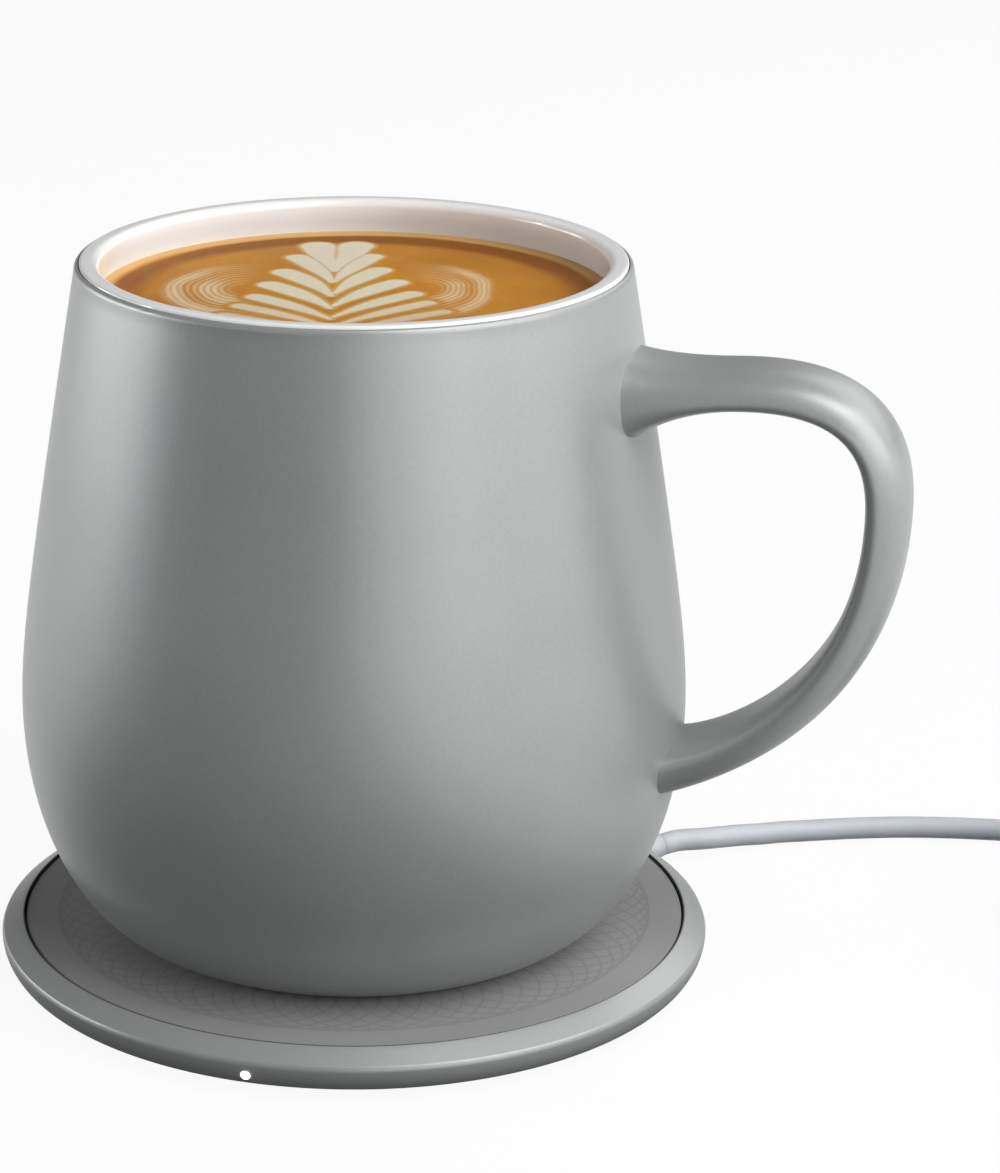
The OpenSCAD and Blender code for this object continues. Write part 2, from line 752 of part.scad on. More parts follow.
module mug_shell() {
  heights = mug_heights(base_ring_top, seat_z);
  color(grey_coat) on_pad() rotate_extrude() polygon(concat(
    shell_line(),
    [[seat_r, seat_z]],
    [for (i = [len(heights) - 1 : -1 : 0]) [mug_r(heights[i]) - shell_t, heights[i]]],
    [[base_in_r, base_ring_top], [base_in_r, shell_lift]]));
}

// Middle line of the handle: two curves that meet at its outermost point
function bez(p, t) = pow(1 - t, 3) * p[0] + 3 * pow(1 - t, 2) * t * p[1] + 3 * (1 - t) * t * t * p[2]
  + pow(t, 3) * p[3];
handle_top = [mug_r(handle_top_h) - handle_sink, handle_top_h];
handle_mid = [belly_r + handle_out, handle_low_h + handle_bow * handle_h];
handle_foot = [mug_r(handle_low_h) + handle_foot_out, handle_low_h];
handle_foot_in = handle_foot_out - 1 + handle_sink;
handle_upper = [handle_top, handle_top + handle_lead * [cos(handle_rise), sin(handle_rise)],
  handle_mid + [0, handle_pull_up], handle_mid];
handle_lower = [handle_mid, handle_mid - [0, handle_pull_down], handle_foot, handle_foot - [handle_foot_in, 0]];
handle_line = concat(
  [for (i = [0 : handle_stations - 1]) bez(handle_upper, i / handle_stations)],
  [for (i = [0 : handle_stations]) bez(handle_lower, i / handle_stations)]);
function near_end(s, span) = pow(max(0, 1 - s / span), 2);
function strap_t(s) = handle_t + (handle_root_t - handle_t) * near_end(s, flare_top)
  + (handle_tip_t - handle_t) * near_end(1 - s, flare_low);
function strap_w(s) = handle_w + (handle_root_w - handle_w) * near_end(s, 0.5)
  + (handle_tip_w - handle_w) * near_end(1 - s, 0.5);
function squared(v) = sign(v) * pow(abs(v), 2 / handle_square);
function handle_ring(i) = let (p = handle_line[i], d = heading(handle_line, i),
  s = i / (len(handle_line) - 1))
  [for (j = [0 : handle_sides - 1]) let (a = 360 * j / handle_sides, n = squared(sin(a)) * strap_t(s) / 2)
    [p[0] - d[1] * n, squared(cos(a)) * strap_w(s) / 2, p[1] + d[0] * n]];

module mug_handle() {
  color(grey_coat) on_pad() difference() {
    skin([for (i = [0 : len(handle_line) - 1]) handle_ring(i)]);
    rotate_extrude($fn = handle_cut_sides) polygon(concat(
      [for (z = mug_heights(shell_lift, shell_top)) [mug_r(z), z]],
      [[mug_r(shell_top), shell_top + handle_root_t], [0, shell_top + handle_root_t], [0, shell_lift]]));
  }
}

coaster_foot();
coaster_base();
base_screws();
coaster_housing();
top_plate();
top_pad();
transmit_ferrite();
transmit_coil();
control_board();
board_chips();
board_capacitors();
status_led();
light_pipe();
strain_relief();
lead_wires();
cord_run();
cord_coil();
cord_tail();
cord_tie();
plug_relief();
plug_body();
plug_shell();
plug_insert();
mug_foot();
base_cover();
base_gasket();
cover_screws();
module_case();
receiver_coil();
receiver_ferrite();
receiver_board();
receiver_chips();
heater_leads();
temperature_sensor();
insulation_disc();
heater_film();
heat_spreader();
mug_liner();
mug_shell();
mug_handle();
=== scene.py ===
"""Self-heating mug on its powered coaster: surfaces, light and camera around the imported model."""
import math

import bmesh
import bpy
import numpy as np
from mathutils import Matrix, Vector


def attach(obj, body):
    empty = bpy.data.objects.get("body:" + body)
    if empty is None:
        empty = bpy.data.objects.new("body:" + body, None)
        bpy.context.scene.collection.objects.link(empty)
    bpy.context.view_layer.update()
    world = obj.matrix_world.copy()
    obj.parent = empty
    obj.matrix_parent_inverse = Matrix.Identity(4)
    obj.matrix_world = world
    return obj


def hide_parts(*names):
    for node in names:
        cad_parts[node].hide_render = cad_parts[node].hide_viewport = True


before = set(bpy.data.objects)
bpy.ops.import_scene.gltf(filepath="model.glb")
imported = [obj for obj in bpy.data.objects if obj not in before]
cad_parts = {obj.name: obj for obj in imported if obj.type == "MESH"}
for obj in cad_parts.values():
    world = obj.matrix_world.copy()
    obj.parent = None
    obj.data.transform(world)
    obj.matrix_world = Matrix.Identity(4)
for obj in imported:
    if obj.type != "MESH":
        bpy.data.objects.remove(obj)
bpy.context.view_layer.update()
scene = bpy.context.scene
scene.view_settings.view_transform = "Standard"

MM = 0.001
TAU = 2 * math.pi

# Camera: its bearing from the mug, and the frame of 1000 by 1173 that it fills
VIEW_AZIMUTH = math.radians(16.6)
VIEW_PITCH = math.radians(18.73)
VIEW_DISTANCE = 521.6
VIEW_HEIGHT = 234.8
FRAME_W = 1000
FRAME_H = 1173
FOCAL_PIXELS = 3730.3
CENTRE_PIXEL = 354.0
SENSOR = 36.0

VIEW_SIN = math.sin(VIEW_AZIMUTH)
VIEW_COS = math.cos(VIEW_AZIMUTH)

# Coaster sizes in mm, as the model has them
COASTER_R = 53.3
COASTER_H = 7.4
RIM_W = 3.4
RIM_DROP = 1.9
SIDE_IN = 3.0
EDGE_SOFT = 0.25
EDGE_H = 0.6
HOUSING_Z = 1.0
LEDGE_W = 1.3
PLATE_Z = 5.6
PLATE_TOP = 6.4
PAD_TOP = 7.1
PAD_GAP = 0.3
PAD_SOFT = 0.15
RIM_SOFT = 0.22
EDGE_BEND = 0.2
EDGE_STEPS = 8
SIDE_STEPS = 24
RIM_SHARES = (0.3, 0.6, 0.97)
# Painted shade: distances past the rim's inner edge where the dark band standing for the shadow in the
# pad's groove starts to fade and is gone
GROOVE_SHADE_FROM = 0.14
GROOVE_SHADE_TO = 0.3
LIGHT_Z = 3.2
LIGHT_R = 0.71
LIGHT_Y = 44.5
LIGHT_PROUD = 0.5

# Mug sizes in mm above its own foot, which stands on the pad
MUG_H = 100.8
RIM_R = 39.95
BELLY_R = 49.25
BELLY_H = 34.3
BELLY_ROUND = 19.1
BASE_CUT = 0.4
NECK_BEND = 0.185
SHELL_T = 1.9
SHELL_LIFT = 0.3
SHELL_TOP = 100.4
SHELL_EDGE_H = 1.0
SHELL_RIM_W = 0.45
BASE_EDGE_W = 1.0
BASE_RING_TOP = 2.4
SEAT_Z = 99.0
LIP_GAP = 0.15
LIP_SOFT_OUT = 0.5
LIP_SOFT_IN = 1.2
LINER_T = 1.5
LINER_GAP = 0.2
AIR_GAP = 2.0
LINER_Z = 16.9
FLOOR_Z = 18.9
FLOOR_R = 29.97
KNEE_Z = 38.9
COFFEE_Z = 95.4
COFFEE_CLEAR = 0.03
COFFEE_SIDE_Z = 90.0
COFFEE_UNDER_Z = 86.0
MENISCUS_W = 1.2
MENISCUS_H = 0.35
# Heights below the lip top where the painted cool wall tint starts to give way to the white lip and is gone
LIP_TONE_FROM = 2.6
LIP_TONE_TO = 0.8

# Cord in mm, as the model has it
CORD_D = 3.5
CORD_ANGLE = math.radians(50)
CORD_H = 3.1
BOOT_TIP_R = 58.9
CORD_POINTS = [
    (43.4, 50, 2.9), (46.2, 52.4, 2.6), (49, 54.8, 2.3), (52, 57, 2), (55, 59, 1.9),
    (58, 60.6, 1.8), (62, 62.6, 1.75), (67, 64.7, 1.75), (73, 66.9, 1.75), (79, 68.5, 1.75),
    (85, 69.6, 1.8), (91, 70.2, 1.9), (98, 70.5, 2.1), (106, 70.5, 2.4), (114, 70.5, 2.6),
]
TAIL_POINTS = [(155.5, 34, 6.4), (155.5, 28, 5.5), (155.5, 22, 4.5), (155.5, 17, 3.9)]
HANK_X = 126.0
HANK_Y = 42.0
HANK_R = 12.5
HANK_TURNS = 4
HANK_PITCH = 4.0
HANK_RINGS = 24
HANK_CLIMB = 0.5
HANK_SOFT = 0.08
TIE_T = 0.6
TIE_GAP = 0.3
TIE_W = 8.0
HANK_Z = TIE_T + TIE_GAP + CORD_D / 2 * math.cos(math.radians(30))
PLUG_X = 155.5
PLUG_Y = 12.0
PLUG_T = 7.6


# Meshes

AXIS_R = 1e-6


def add_piece(name, data, body, look, slot=None, *replaces):
    """Link a new piece with its look, let it ride on a body and hide the solids it takes the place of."""
    data.name = name
    piece = bpy.data.objects.new(name, data)
    scene.collection.objects.link(piece)
    data.materials.append(look.material)
    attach(piece, body)
    if replaces:
        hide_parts(*replaces)
    return piece


def finish_mesh(bm, sharp_deg=35):
    """Turn a bmesh into a smooth mesh whose edges are sharp past an angle."""
    bmesh.ops.recalc_face_normals(bm, faces=bm.faces)
    mesh = bpy.data.meshes.new("skin")
    bm.to_mesh(mesh)
    bm.free()
    for polygon in mesh.polygons:
        polygon.use_smooth = True
    mesh.set_sharp_from_angle(angle=math.radians(sharp_deg))
    return mesh


def skin_rings(bm, rings, capped=False):
    """Join rings of vertices into a skin; a ring of one vertex is a pole."""
    for low, high in zip(rings, rings[1:]):
        count = max(len(low), len(high))
        for i in range(count):
            j = (i + 1) % count
            if len(low) == 1:
                bm.faces.new((low[0], high[j], high[i]))
            elif len(high) == 1:
                bm.faces.new((low[i], low[j], high[0]))
            else:
                bm.faces.new((low[i], low[j], high[j], high[i]))
    if capped:
        bm.faces.new(rings[0])
        bm.faces.new(list(reversed(rings[-1])))


def full_turn(count):
    """Even angles once round."""
    return [TAU * i / count for i in range(count)]


def spread(low, high, count):
    """count + 1 even steps from low to high."""
    return [low + (high - low) * i / count for i in range(count + 1)]


def revolve(profile, segments, sharp_deg=35):
    """Closed skin of revolution from (radius, height) points in mm."""
    bm = bmesh.new()
    turns = full_turn(segments)
    rings = []
    for r, z in profile:
        if r < AXIS_R:
            ring = [(0, 0, z * MM)]
        else:
            ring = [(r * MM * math.cos(a), r * MM * math.sin(a), z * MM) for a in turns]
        rings.append([bm.verts.new(spot) for spot in ring])
    if len(rings[0]) > 1:
        rings.append(rings[0])
    skin_rings(bm, rings)
    return finish_mesh(bm, sharp_deg)


def quarter(x, z, r, start_deg, steps=8):
    """Points of a quarter circle, counter-clockwise from start_deg."""
    angles = [math.radians(start_deg + 90 * i / steps) for i in range(steps + 1)]
    return [(x + r * math.cos(a), z + r * math.sin(a)) for a in angles]


def bezier(points, t):
    """Point of the curve that its control points pull into shape."""
    while len(points) > 1:
        points = [tuple((1 - t) * a + t * b for a, b in zip(p, q)) for p, q in zip(points, points[1:])]
    return points[0]


def smooth_step(x, low, high):
    t = np.clip((x - low) / (high - low), 0, 1)
    return t * t * (3 - 2 * t)


# Mug curves

BELLY_STEPS = 36
NECK_STEPS = 40
LINER_STEPS = 30


def mug_r(z):
    """Outside radius of the mug at height z above its foot."""
    if z < BELLY_H:
        s = (BELLY_H - z) / (BELLY_H + BASE_CUT)
        return BELLY_R - BELLY_ROUND * (1 - math.sqrt(1 - s * s))
    s = (z - BELLY_H) / (MUG_H - BELLY_H)
    bend = math.sqrt(NECK_BEND ** 2 + 1) - NECK_BEND
    return BELLY_R - (BELLY_R - RIM_R) * (math.sqrt(NECK_BEND ** 2 + s * s) - NECK_BEND) / bend


def cup_out(z):
    """Outside radius of the inner cup above its rounded corner."""
    share = (SEAT_Z - min(z, SEAT_Z)) / (SEAT_Z - KNEE_Z)
    return mug_r(z) - SHELL_T - LINER_GAP - (AIR_GAP - LINER_GAP) * share


def knee_arc(r, low, steps=24):
    """The inner cup's rounded corner from its floor up to the wall."""
    angles = spread(0, math.pi / 2, steps)
    return [(FLOOR_R + (r - FLOOR_R) * math.sin(a), KNEE_Z - (KNEE_Z - low) * math.cos(a)) for a in angles]


def mug_heights(low, high):
    """Heights that step finely near the base and evenly up the taper."""
    angles = spread(0, math.pi / 2, BELLY_STEPS)[:-1]
    return [low + (BELLY_H - low) * (1 - math.cos(a)) for a in angles] + spread(BELLY_H, high, NECK_STEPS)


def on_pad(profile):
    return [(r, z + PAD_TOP) for r, z in profile]


def shell_profile():
    top = SHELL_TOP - SHELL_EDGE_H
    seat_r = mug_r(SHELL_TOP) - SHELL_RIM_W
    edge_w = mug_r(top) - seat_r
    base_in = mug_r(SHELL_LIFT) - BASE_EDGE_W
    outer = [(mug_r(z), z) for z in mug_heights(SHELL_LIFT, top)[:-1]]
    edge = [(seat_r + edge_w * x, top + SHELL_EDGE_H * y) for x, y in quarter(0, 0, 1, 0)]
    seat = [(seat_r, SEAT_Z)]
    inner = [(mug_r(z) - SHELL_T, z) for z in reversed(mug_heights(BASE_RING_TOP, SEAT_Z))]
    foot = [(base_in, BASE_RING_TOP), (base_in, SHELL_LIFT)]
    return on_pad(outer + edge + seat + inner + foot)


def liner_profile():
    lip_r = mug_r(SHELL_TOP) - SHELL_RIM_W - LIP_GAP
    lip_z = MUG_H - LIP_SOFT_IN
    lip_in = cup_out(lip_z) - LINER_T
    outside = knee_arc(cup_out(KNEE_Z), LINER_Z)
    outside += [(cup_out(z), z) for z in spread(KNEE_Z, SEAT_Z, LINER_STEPS)[1:]]
    lip = [(lip_r, SEAT_Z)] + quarter(lip_r - LIP_SOFT_OUT, MUG_H - LIP_SOFT_OUT, LIP_SOFT_OUT, 0)
    lip += quarter(lip_in + LIP_SOFT_IN, lip_z, LIP_SOFT_IN, 90)
    inside = [(cup_out(z) - LINER_T, z) for z in spread(lip_z, KNEE_Z, LINER_STEPS)[1:-1]]
    inside += list(reversed(knee_arc(cup_out(KNEE_Z) - LINER_T, FLOOR_Z)))
    return on_pad([(0, LINER_Z)] + outside + lip + inside + [(0, FLOOR_Z)])


# Handle: a strap swept along two curves that meet at its outermost point

HANDLE_SINK = 2.6
HANDLE_TOP_H = 84.2
HANDLE_LOW_H = 29.2
HANDLE_LOW_OUT = 1.0
HANDLE_MID = (78.4, 70.45)
HANDLE_RISE = math.radians(10.8)
HANDLE_PULL = (13.04, 22.54, 31.95, 1.0)
HANDLE_T = 6.05
HANDLE_ROOT_T = 13.9
HANDLE_TIP_T = 7.6
HANDLE_W = 14.0
HANDLE_ROOT_W = 19.2
HANDLE_TIP_W = 18.2
HANDLE_SQUARE = 2.6
HANDLE_INNER_SQUARE = 3.0
HANDLE_TOP_TAPER = 0.28
HANDLE_LOW_TAPER = 0.12
HANDLE_MOVE = 0.5
FLARE_TOP = 0.17
FLARE_LOW = 0.25
HANDLE_STEPS = 60
HANDLE_SIDES = 56
HANDLE_INSET = 0.7
FLARE_WIDE = 0.5


def near_end(s, span):
    return max(0.0, 1 - s / span) ** 2


def squared(value, power):
    return math.copysign(abs(value) ** (2 / power), value)


def handle_line():
    top = (mug_r(HANDLE_TOP_H) - HANDLE_SINK, HANDLE_TOP_H)
    low_r = mug_r(HANDLE_LOW_H) + HANDLE_LOW_OUT
    mid_r, mid_z = HANDLE_MID
    lead, rise, fall, arrive = HANDLE_PULL
    upper = (top, (top[0] + lead * math.cos(HANDLE_RISE), top[1] + lead * math.sin(HANDLE_RISE)),
             (mid_r, mid_z + rise), HANDLE_MID)
    lower = (HANDLE_MID, (mid_r, mid_z - fall), (low_r + arrive, HANDLE_LOW_H),
             (low_r - HANDLE_SINK, HANDLE_LOW_H))
    steps = spread(0, 1, HANDLE_STEPS)
    return [bezier(upper, t) for t in steps[:-1]] + [bezier(lower, t) for t in steps]


def handle_mesh():
    line = handle_line()
    last = len(line) - 1
    bm = bmesh.new()
    rings = []
    for i, (x, z) in enumerate(line):
        ahead, behind = line[min(i + 1, last)], line[max(i - 1, 0)]
        dx, dz = ahead[0] - behind[0], ahead[1] - behind[1]
        size = math.hypot(dx, dz)
        dx, dz = dx / size, dz / size
        s = i / last
        thick = HANDLE_T + (HANDLE_ROOT_T - HANDLE_T) * near_end(s, FLARE_TOP)
        thick += (HANDLE_TIP_T - HANDLE_T) * near_end(1 - s, FLARE_LOW)
        wide = HANDLE_W + (HANDLE_ROOT_W - HANDLE_W) * near_end(s, FLARE_WIDE)
        wide += (HANDLE_TIP_W - HANDLE_W) * near_end(1 - s, FLARE_WIDE)
        taper = (HANDLE_TOP_TAPER + (HANDLE_LOW_TAPER - HANDLE_TOP_TAPER) * s) * HANDLE_T / thick
        ring = []
        for a in full_turn(HANDLE_SIDES):
            power = HANDLE_SQUARE if math.sin(a) >= 0 else HANDLE_INNER_SQUARE
            rise = squared(math.sin(a), power)
            n = rise * thick / 2 + HANDLE_MOVE * s * s
            py = squared(math.cos(a), power) * wide / 2 * (1 - taper * rise)
            px, pz = x - dz * n, z + dx * n
            reach = math.hypot(px, py)
            least = mug_r(pz) - HANDLE_INSET
            if reach < least:
                px, py = px * least / reach, py * least / reach
            ring.append(bm.verts.new((px * MM, py * MM, (pz + PAD_TOP) * MM)))
        rings.append(ring)
    skin_rings(bm, rings, capped=True)
    return finish_mesh(bm, 60)


# Coaster profiles


def housing_profile():
    open_r = COASTER_R - RIM_W
    cavity_r = open_r - LEDGE_W
    edge_z = COASTER_H - RIM_DROP
    side_z = edge_z - EDGE_H
    slope_r = COASTER_R - EDGE_SOFT
    run, fall = slope_r - open_r, COASTER_H - edge_z
    size = math.hypot(run, fall)
    top = [(open_r, COASTER_H - RIM_SOFT), (open_r + 0.3 * RIM_SOFT, COASTER_H - 0.35 * RIM_SOFT)]
    top += [(open_r + RIM_SOFT * run / size, COASTER_H - RIM_SOFT * fall / size)]
    top += [(open_r + run * t, COASTER_H - fall * t) for t in RIM_SHARES]
    after = bezier(((slope_r, edge_z), (COASTER_R, side_z)), EDGE_BEND)
    bend = [bezier((top[-1], (slope_r, edge_z), after), t) for t in spread(0, 1, EDGE_STEPS)[1:]]
    bend.append((COASTER_R, side_z))
    deep = side_z - HOUSING_Z
    angles = spread(0, math.pi / 2, SIDE_STEPS)[1:]
    side = [(COASTER_R - SIDE_IN * (1 - math.cos(a)), side_z - deep * math.sin(a)) for a in angles]
    inside = [(cavity_r, HOUSING_Z), (cavity_r, PLATE_Z), (open_r, PLATE_Z)]
    return top + bend + side + inside


def pad_profile():
    r = COASTER_R - RIM_W - PAD_GAP
    edge = [(r, PLATE_TOP), (r, PAD_TOP - PAD_SOFT), (r - PAD_SOFT, PAD_TOP)]
    return [(0, PLATE_TOP)] + edge + [(r / 2, PAD_TOP), (0, PAD_TOP)]


# Shader helpers

# Sockets of a node that mixes two colours
MIX_SHARE, MIX_FROM, MIX_TO, MIX_RESULT = 0, 6, 7, 2
# Levels between which a noise mostly lies
NOISE_LOW, NOISE_HIGH = 0.3, 0.7
GRAIN_DETAIL = 3.0
GRAIN_ROUGH = 0.6
BROAD_GRAIN = 60.0
BROAD_SHARE = 0.35
GLOSS_SPREAD = 0.04
BRUSH_SPREAD = 0.08
BUMP_STRENGTH = 0.6


class Nodes:
    """Short ways to add nodes to a tree and join them."""

    def __init__(self, tree):
        self.tree = tree

    def node(self, kind, inputs=None, **settings):
        made = self.tree.nodes.new(kind)
        for key, value in settings.items():
            setattr(made, key, value)
        for key, value in (inputs or {}).items():
            self.feed(made.inputs[key], value)
        return made

    def feed(self, socket, value):
        if isinstance(value, bpy.types.NodeSocket):
            self.tree.links.new(value, socket)
        else:
            socket.default_value = value

    def math(self, operation, a, b=0.0, c=0.0):
        return self.node("ShaderNodeMath", {0: a, 1: b, 2: c}, operation=operation).outputs[0]

    def mix(self, share, low, high):
        inputs = {MIX_SHARE: share, MIX_FROM: low, MIX_TO: high}
        return self.node("ShaderNodeMix", inputs, data_type="RGBA").outputs[MIX_RESULT]

    def ramp(self, factor, low, high, at_low=0.0, at_high=1.0, curve="LINEAR"):
        """Map a factor between two levels onto two colours or numbers."""
        if not isinstance(low, (int, float)):
            return self.mix(self.ramp(factor, 0.0, 1.0, at_low, at_high), (*low, 1), (*high, 1))
        inputs = {"Value": factor, "From Min": at_low, "From Max": at_high, "To Min": low, "To Max": high}
        return self.node("ShaderNodeMapRange", inputs, interpolation_type=curve).outputs["Result"]


class Shader(Nodes):
    """A material with its Principled shader."""

    def __init__(self, name, color, roughness, metallic=0.0, specular=0.5):
        self.material = bpy.data.materials.new(name)
        self.material.use_nodes = True
        super().__init__(self.material.node_tree)
        self.bsdf = self.tree.nodes["Principled BSDF"]
        self.set("Base Color", (*color, 1))
        self.set("Roughness", roughness)
        self.set("Metallic", metallic)
        self.set("Specular IOR Level", specular)

    def set(self, socket, value):
        self.feed(self.bsdf.inputs[socket], value)

    def paint_so_far(self):
        return self.bsdf.inputs["Base Color"].links[0].from_socket

    def place(self):
        """Object coordinates, in metres in the object's own frame."""
        return self.node("ShaderNodeTexCoord").outputs["Object"]

    def axes(self):
        return self.node("ShaderNodeSeparateXYZ", {"Vector": self.place()}).outputs

    def around(self):
        """Object X and Y, and the distance from the upright axis."""
        x, y, _ = self.axes()
        return x, y, self.math("SQRT", self.math("MULTIPLY_ADD", x, x, self.math("MULTIPLY", y, y)))

    def noise(self, scale, detail=2.0, rough=0.5, vector=None):
        inputs = {"Vector": vector or self.place(), "Scale": scale, "Detail": detail, "Roughness": rough}
        return self.node("ShaderNodeTexNoise", inputs).outputs["Fac"]

    def grain(self, noise, low, high):
        """Spread a noise over two colours or numbers."""
        return self.ramp(noise, low, high, NOISE_LOW, NOISE_HIGH)

    def bump(self, height, distance, strength):
        inputs = {"Height": height, "Distance": distance, "Strength": strength}
        self.set("Normal", self.node("ShaderNodeBump", inputs).outputs["Normal"])


def tinted(color, gain):
    return tuple(min(1.0, c * gain) for c in color)


def speckled(name, color, roughness, grain=2000.0, spread_by=0.07, bump=0.006, specular=0.5, metallic=0.0):
    """A fired or moulded surface with a fine grain in colour, gloss and height."""
    made = Shader(name, color, roughness, metallic, specular)
    fine = made.noise(grain, GRAIN_DETAIL, GRAIN_ROUGH)
    broad = made.noise(BROAD_GRAIN)
    both = made.math("MULTIPLY_ADD", broad, BROAD_SHARE, made.math("MULTIPLY", fine, 1 - BROAD_SHARE))
    made.set("Base Color", made.grain(both, tinted(color, 1 - spread_by), tinted(color, 1 + spread_by)))
    made.set("Roughness", made.grain(fine, roughness - GLOSS_SPREAD, roughness + GLOSS_SPREAD))
    made.bump(fine, bump * MM, BUMP_STRENGTH)
    return made


def metal(name, color, roughness, along, grain):
    """A metal with fine lines of brushing along one axis."""
    made = Shader(name, color, roughness, metallic=1.0)
    stretch = made.node("ShaderNodeMapping", {"Vector": made.place(), "Scale": along})
    lines = made.noise(grain, GRAIN_DETAIL, GRAIN_ROUGH, stretch.outputs["Vector"])
    made.set("Roughness", made.grain(lines, roughness - BRUSH_SPREAD, roughness + BRUSH_SPREAD))
    made.set("Base Color", made.grain(lines, tinted(color, 0.93), tinted(color, 1.05)))
    return made


# Materials

GREY = (0.368, 0.386, 0.379)
COASTER_GREY = (0.368, 0.384, 0.377)
# Painted shade: colour of the shadow in the groove between rim and pad
GROOVE_SHADE_GREY = (0.06, 0.062, 0.061, 1)
LIP_WHITE = (0.93, 0.924, 0.914, 1)
SATIN = 0.38
SHEEN_SHARE = 0.35

grey_ceramic = speckled("satin grey ceramic", GREY, SATIN, metallic=SHEEN_SHARE)
coaster_paint = speckled("satin grey coaster", COASTER_GREY, SATIN, 3200.0, 0.04, metallic=SHEEN_SHARE)
# Painted shade: a thin dark band on the rim's inner edge stands for the shadow in the groove between rim
# and pad
groove_shade_r = coaster_paint.around()[2]
groove_shade_at = COASTER_R - RIM_W
groove_shade = coaster_paint.ramp(groove_shade_r, 1.0, 0.0, (groove_shade_at + GROOVE_SHADE_FROM) * MM, (groove_shade_at + GROOVE_SHADE_TO) * MM)
coaster_paint.set("Base Color", coaster_paint.mix(groove_shade, coaster_paint.paint_so_far(), GROOVE_SHADE_GREY))

white_glaze = Shader("white glaze", (0.82, 0.856, 0.888), 0.12)
white_glaze.set("Coat Weight", 0.4)
white_glaze.set("Coat Roughness", 0.05)
white_glaze.set("Roughness", white_glaze.grain(white_glaze.noise(220.0), 0.1, 0.18))
# Painted light: below the lip the glaze is tinted cooler and darker, offsetting the warm light the coffee
# bounces onto the inner wall; near the top it turns to the white lip
wall_tint_against_bounce = white_glaze.grain(white_glaze.noise(45.0), (0.812, 0.846, 0.878), (0.832, 0.866, 0.898))
lip_top = PAD_TOP + MUG_H
lip_from, lip_to = (lip_top - LIP_TONE_FROM) * MM, (lip_top - LIP_TONE_TO) * MM
lip_over_wall_tint = white_glaze.ramp(white_glaze.axes()["Z"], 0.0, 1.0, lip_from, lip_to)
white_glaze.set("Base Color", white_glaze.mix(lip_over_wall_tint, wall_tint_against_bounce, LIP_WHITE))

cord_jacket = speckled("pale grey cord", (0.52, 0.545, 0.58), 0.42, 1800.0, 0.03, 0.004)
cord_jacket.set("Subsurface Weight", 1.0)
cord_jacket.set("Subsurface Radius", (1, 1, 1))
cord_jacket.set("Subsurface Scale", 4.0 * MM)
dark_rubber = speckled("dark rubber", (0.03, 0.03, 0.032), 0.75, 1500.0, 0.25, 0.02)
dark_plastic = speckled("dark plastic", (0.05, 0.052, 0.055), 0.5, 2200.0, 0.12, 0.008)
chip_black = speckled("chip black", (0.02, 0.02, 0.022), 0.45, 4000.0, 0.2, 0.004)
part_ceramic = speckled("component ceramic", (0.46, 0.33, 0.16), 0.6, 2500.0, 0.1)
ferrite = speckled("ferrite", (0.035, 0.033, 0.035), 0.6, 1800.0, 0.25, 0.01)
fibre = speckled("insulation fibre", (0.74, 0.72, 0.66), 0.95, 900.0, 0.12, 0.15)
insert_white = speckled("insert plastic", (0.82, 0.82, 0.8), 0.35, 2500.0, 0.03)

steel = metal("plated steel", (0.62, 0.63, 0.65), 0.26, (1, 0.06, 1), 6000.0)
copper = metal("enamelled copper", (0.72, 0.33, 0.14), 0.3, (1, 1, 1), 1500.0)
spreader_metal = metal("aluminium", (0.8, 0.8, 0.81), 0.35, (0.05, 1, 1), 3000.0)
gold = metal("gold plate", (0.85, 0.62, 0.25), 0.22, (1, 0.1, 1), 3000.0)

film_amber = Shader("heater film", (0.5, 0.22, 0.03), 0.3)
film_inputs = {"Vector": film_amber.place(), "Scale": 120.0, "Distortion": 1.5}
tracks = film_amber.node("ShaderNodeTexWave", film_inputs).outputs["Fac"]
film_amber.set("Base Color", film_amber.ramp(tracks, (0.5, 0.22, 0.03), (0.62, 0.42, 0.3), 0.6, 0.9))

board_green = Shader("circuit board", (0.02, 0.12, 0.05), 0.35)
board_inputs = {"Vector": board_green.place(), "Scale": 500.0}
board_cells = board_green.node("ShaderNodeTexVoronoi", board_inputs, feature="DISTANCE_TO_EDGE")
traces = board_cells.outputs["Distance"]
board_green.set("Base Color", board_green.ramp(traces, (0.05, 0.22, 0.1), (0.015, 0.1, 0.04), 0.04, 0.08))

lamp_white = Shader("lit lens", (1, 1, 0.98), 0.3)
lamp_white.set("Emission Color", (1, 1, 0.97, 1))
lamp_white.set("Emission Strength", 3.0)
lamp_white.set("Roughness", lamp_white.grain(lamp_white.noise(1500.0), 0.25, 0.35))

# Pad: a ring of fine overlapping circles printed on a warm grey

PAD_GREY = (0.29, 0.288, 0.286)
CIRCLE_COUNT = 72
CIRCLE_R = 10.6
CIRCLE_RING_R = 34.1
LINE_HALF = 0.1
LINE_SOFT = 0.18
LINE_SHARE = 0.2


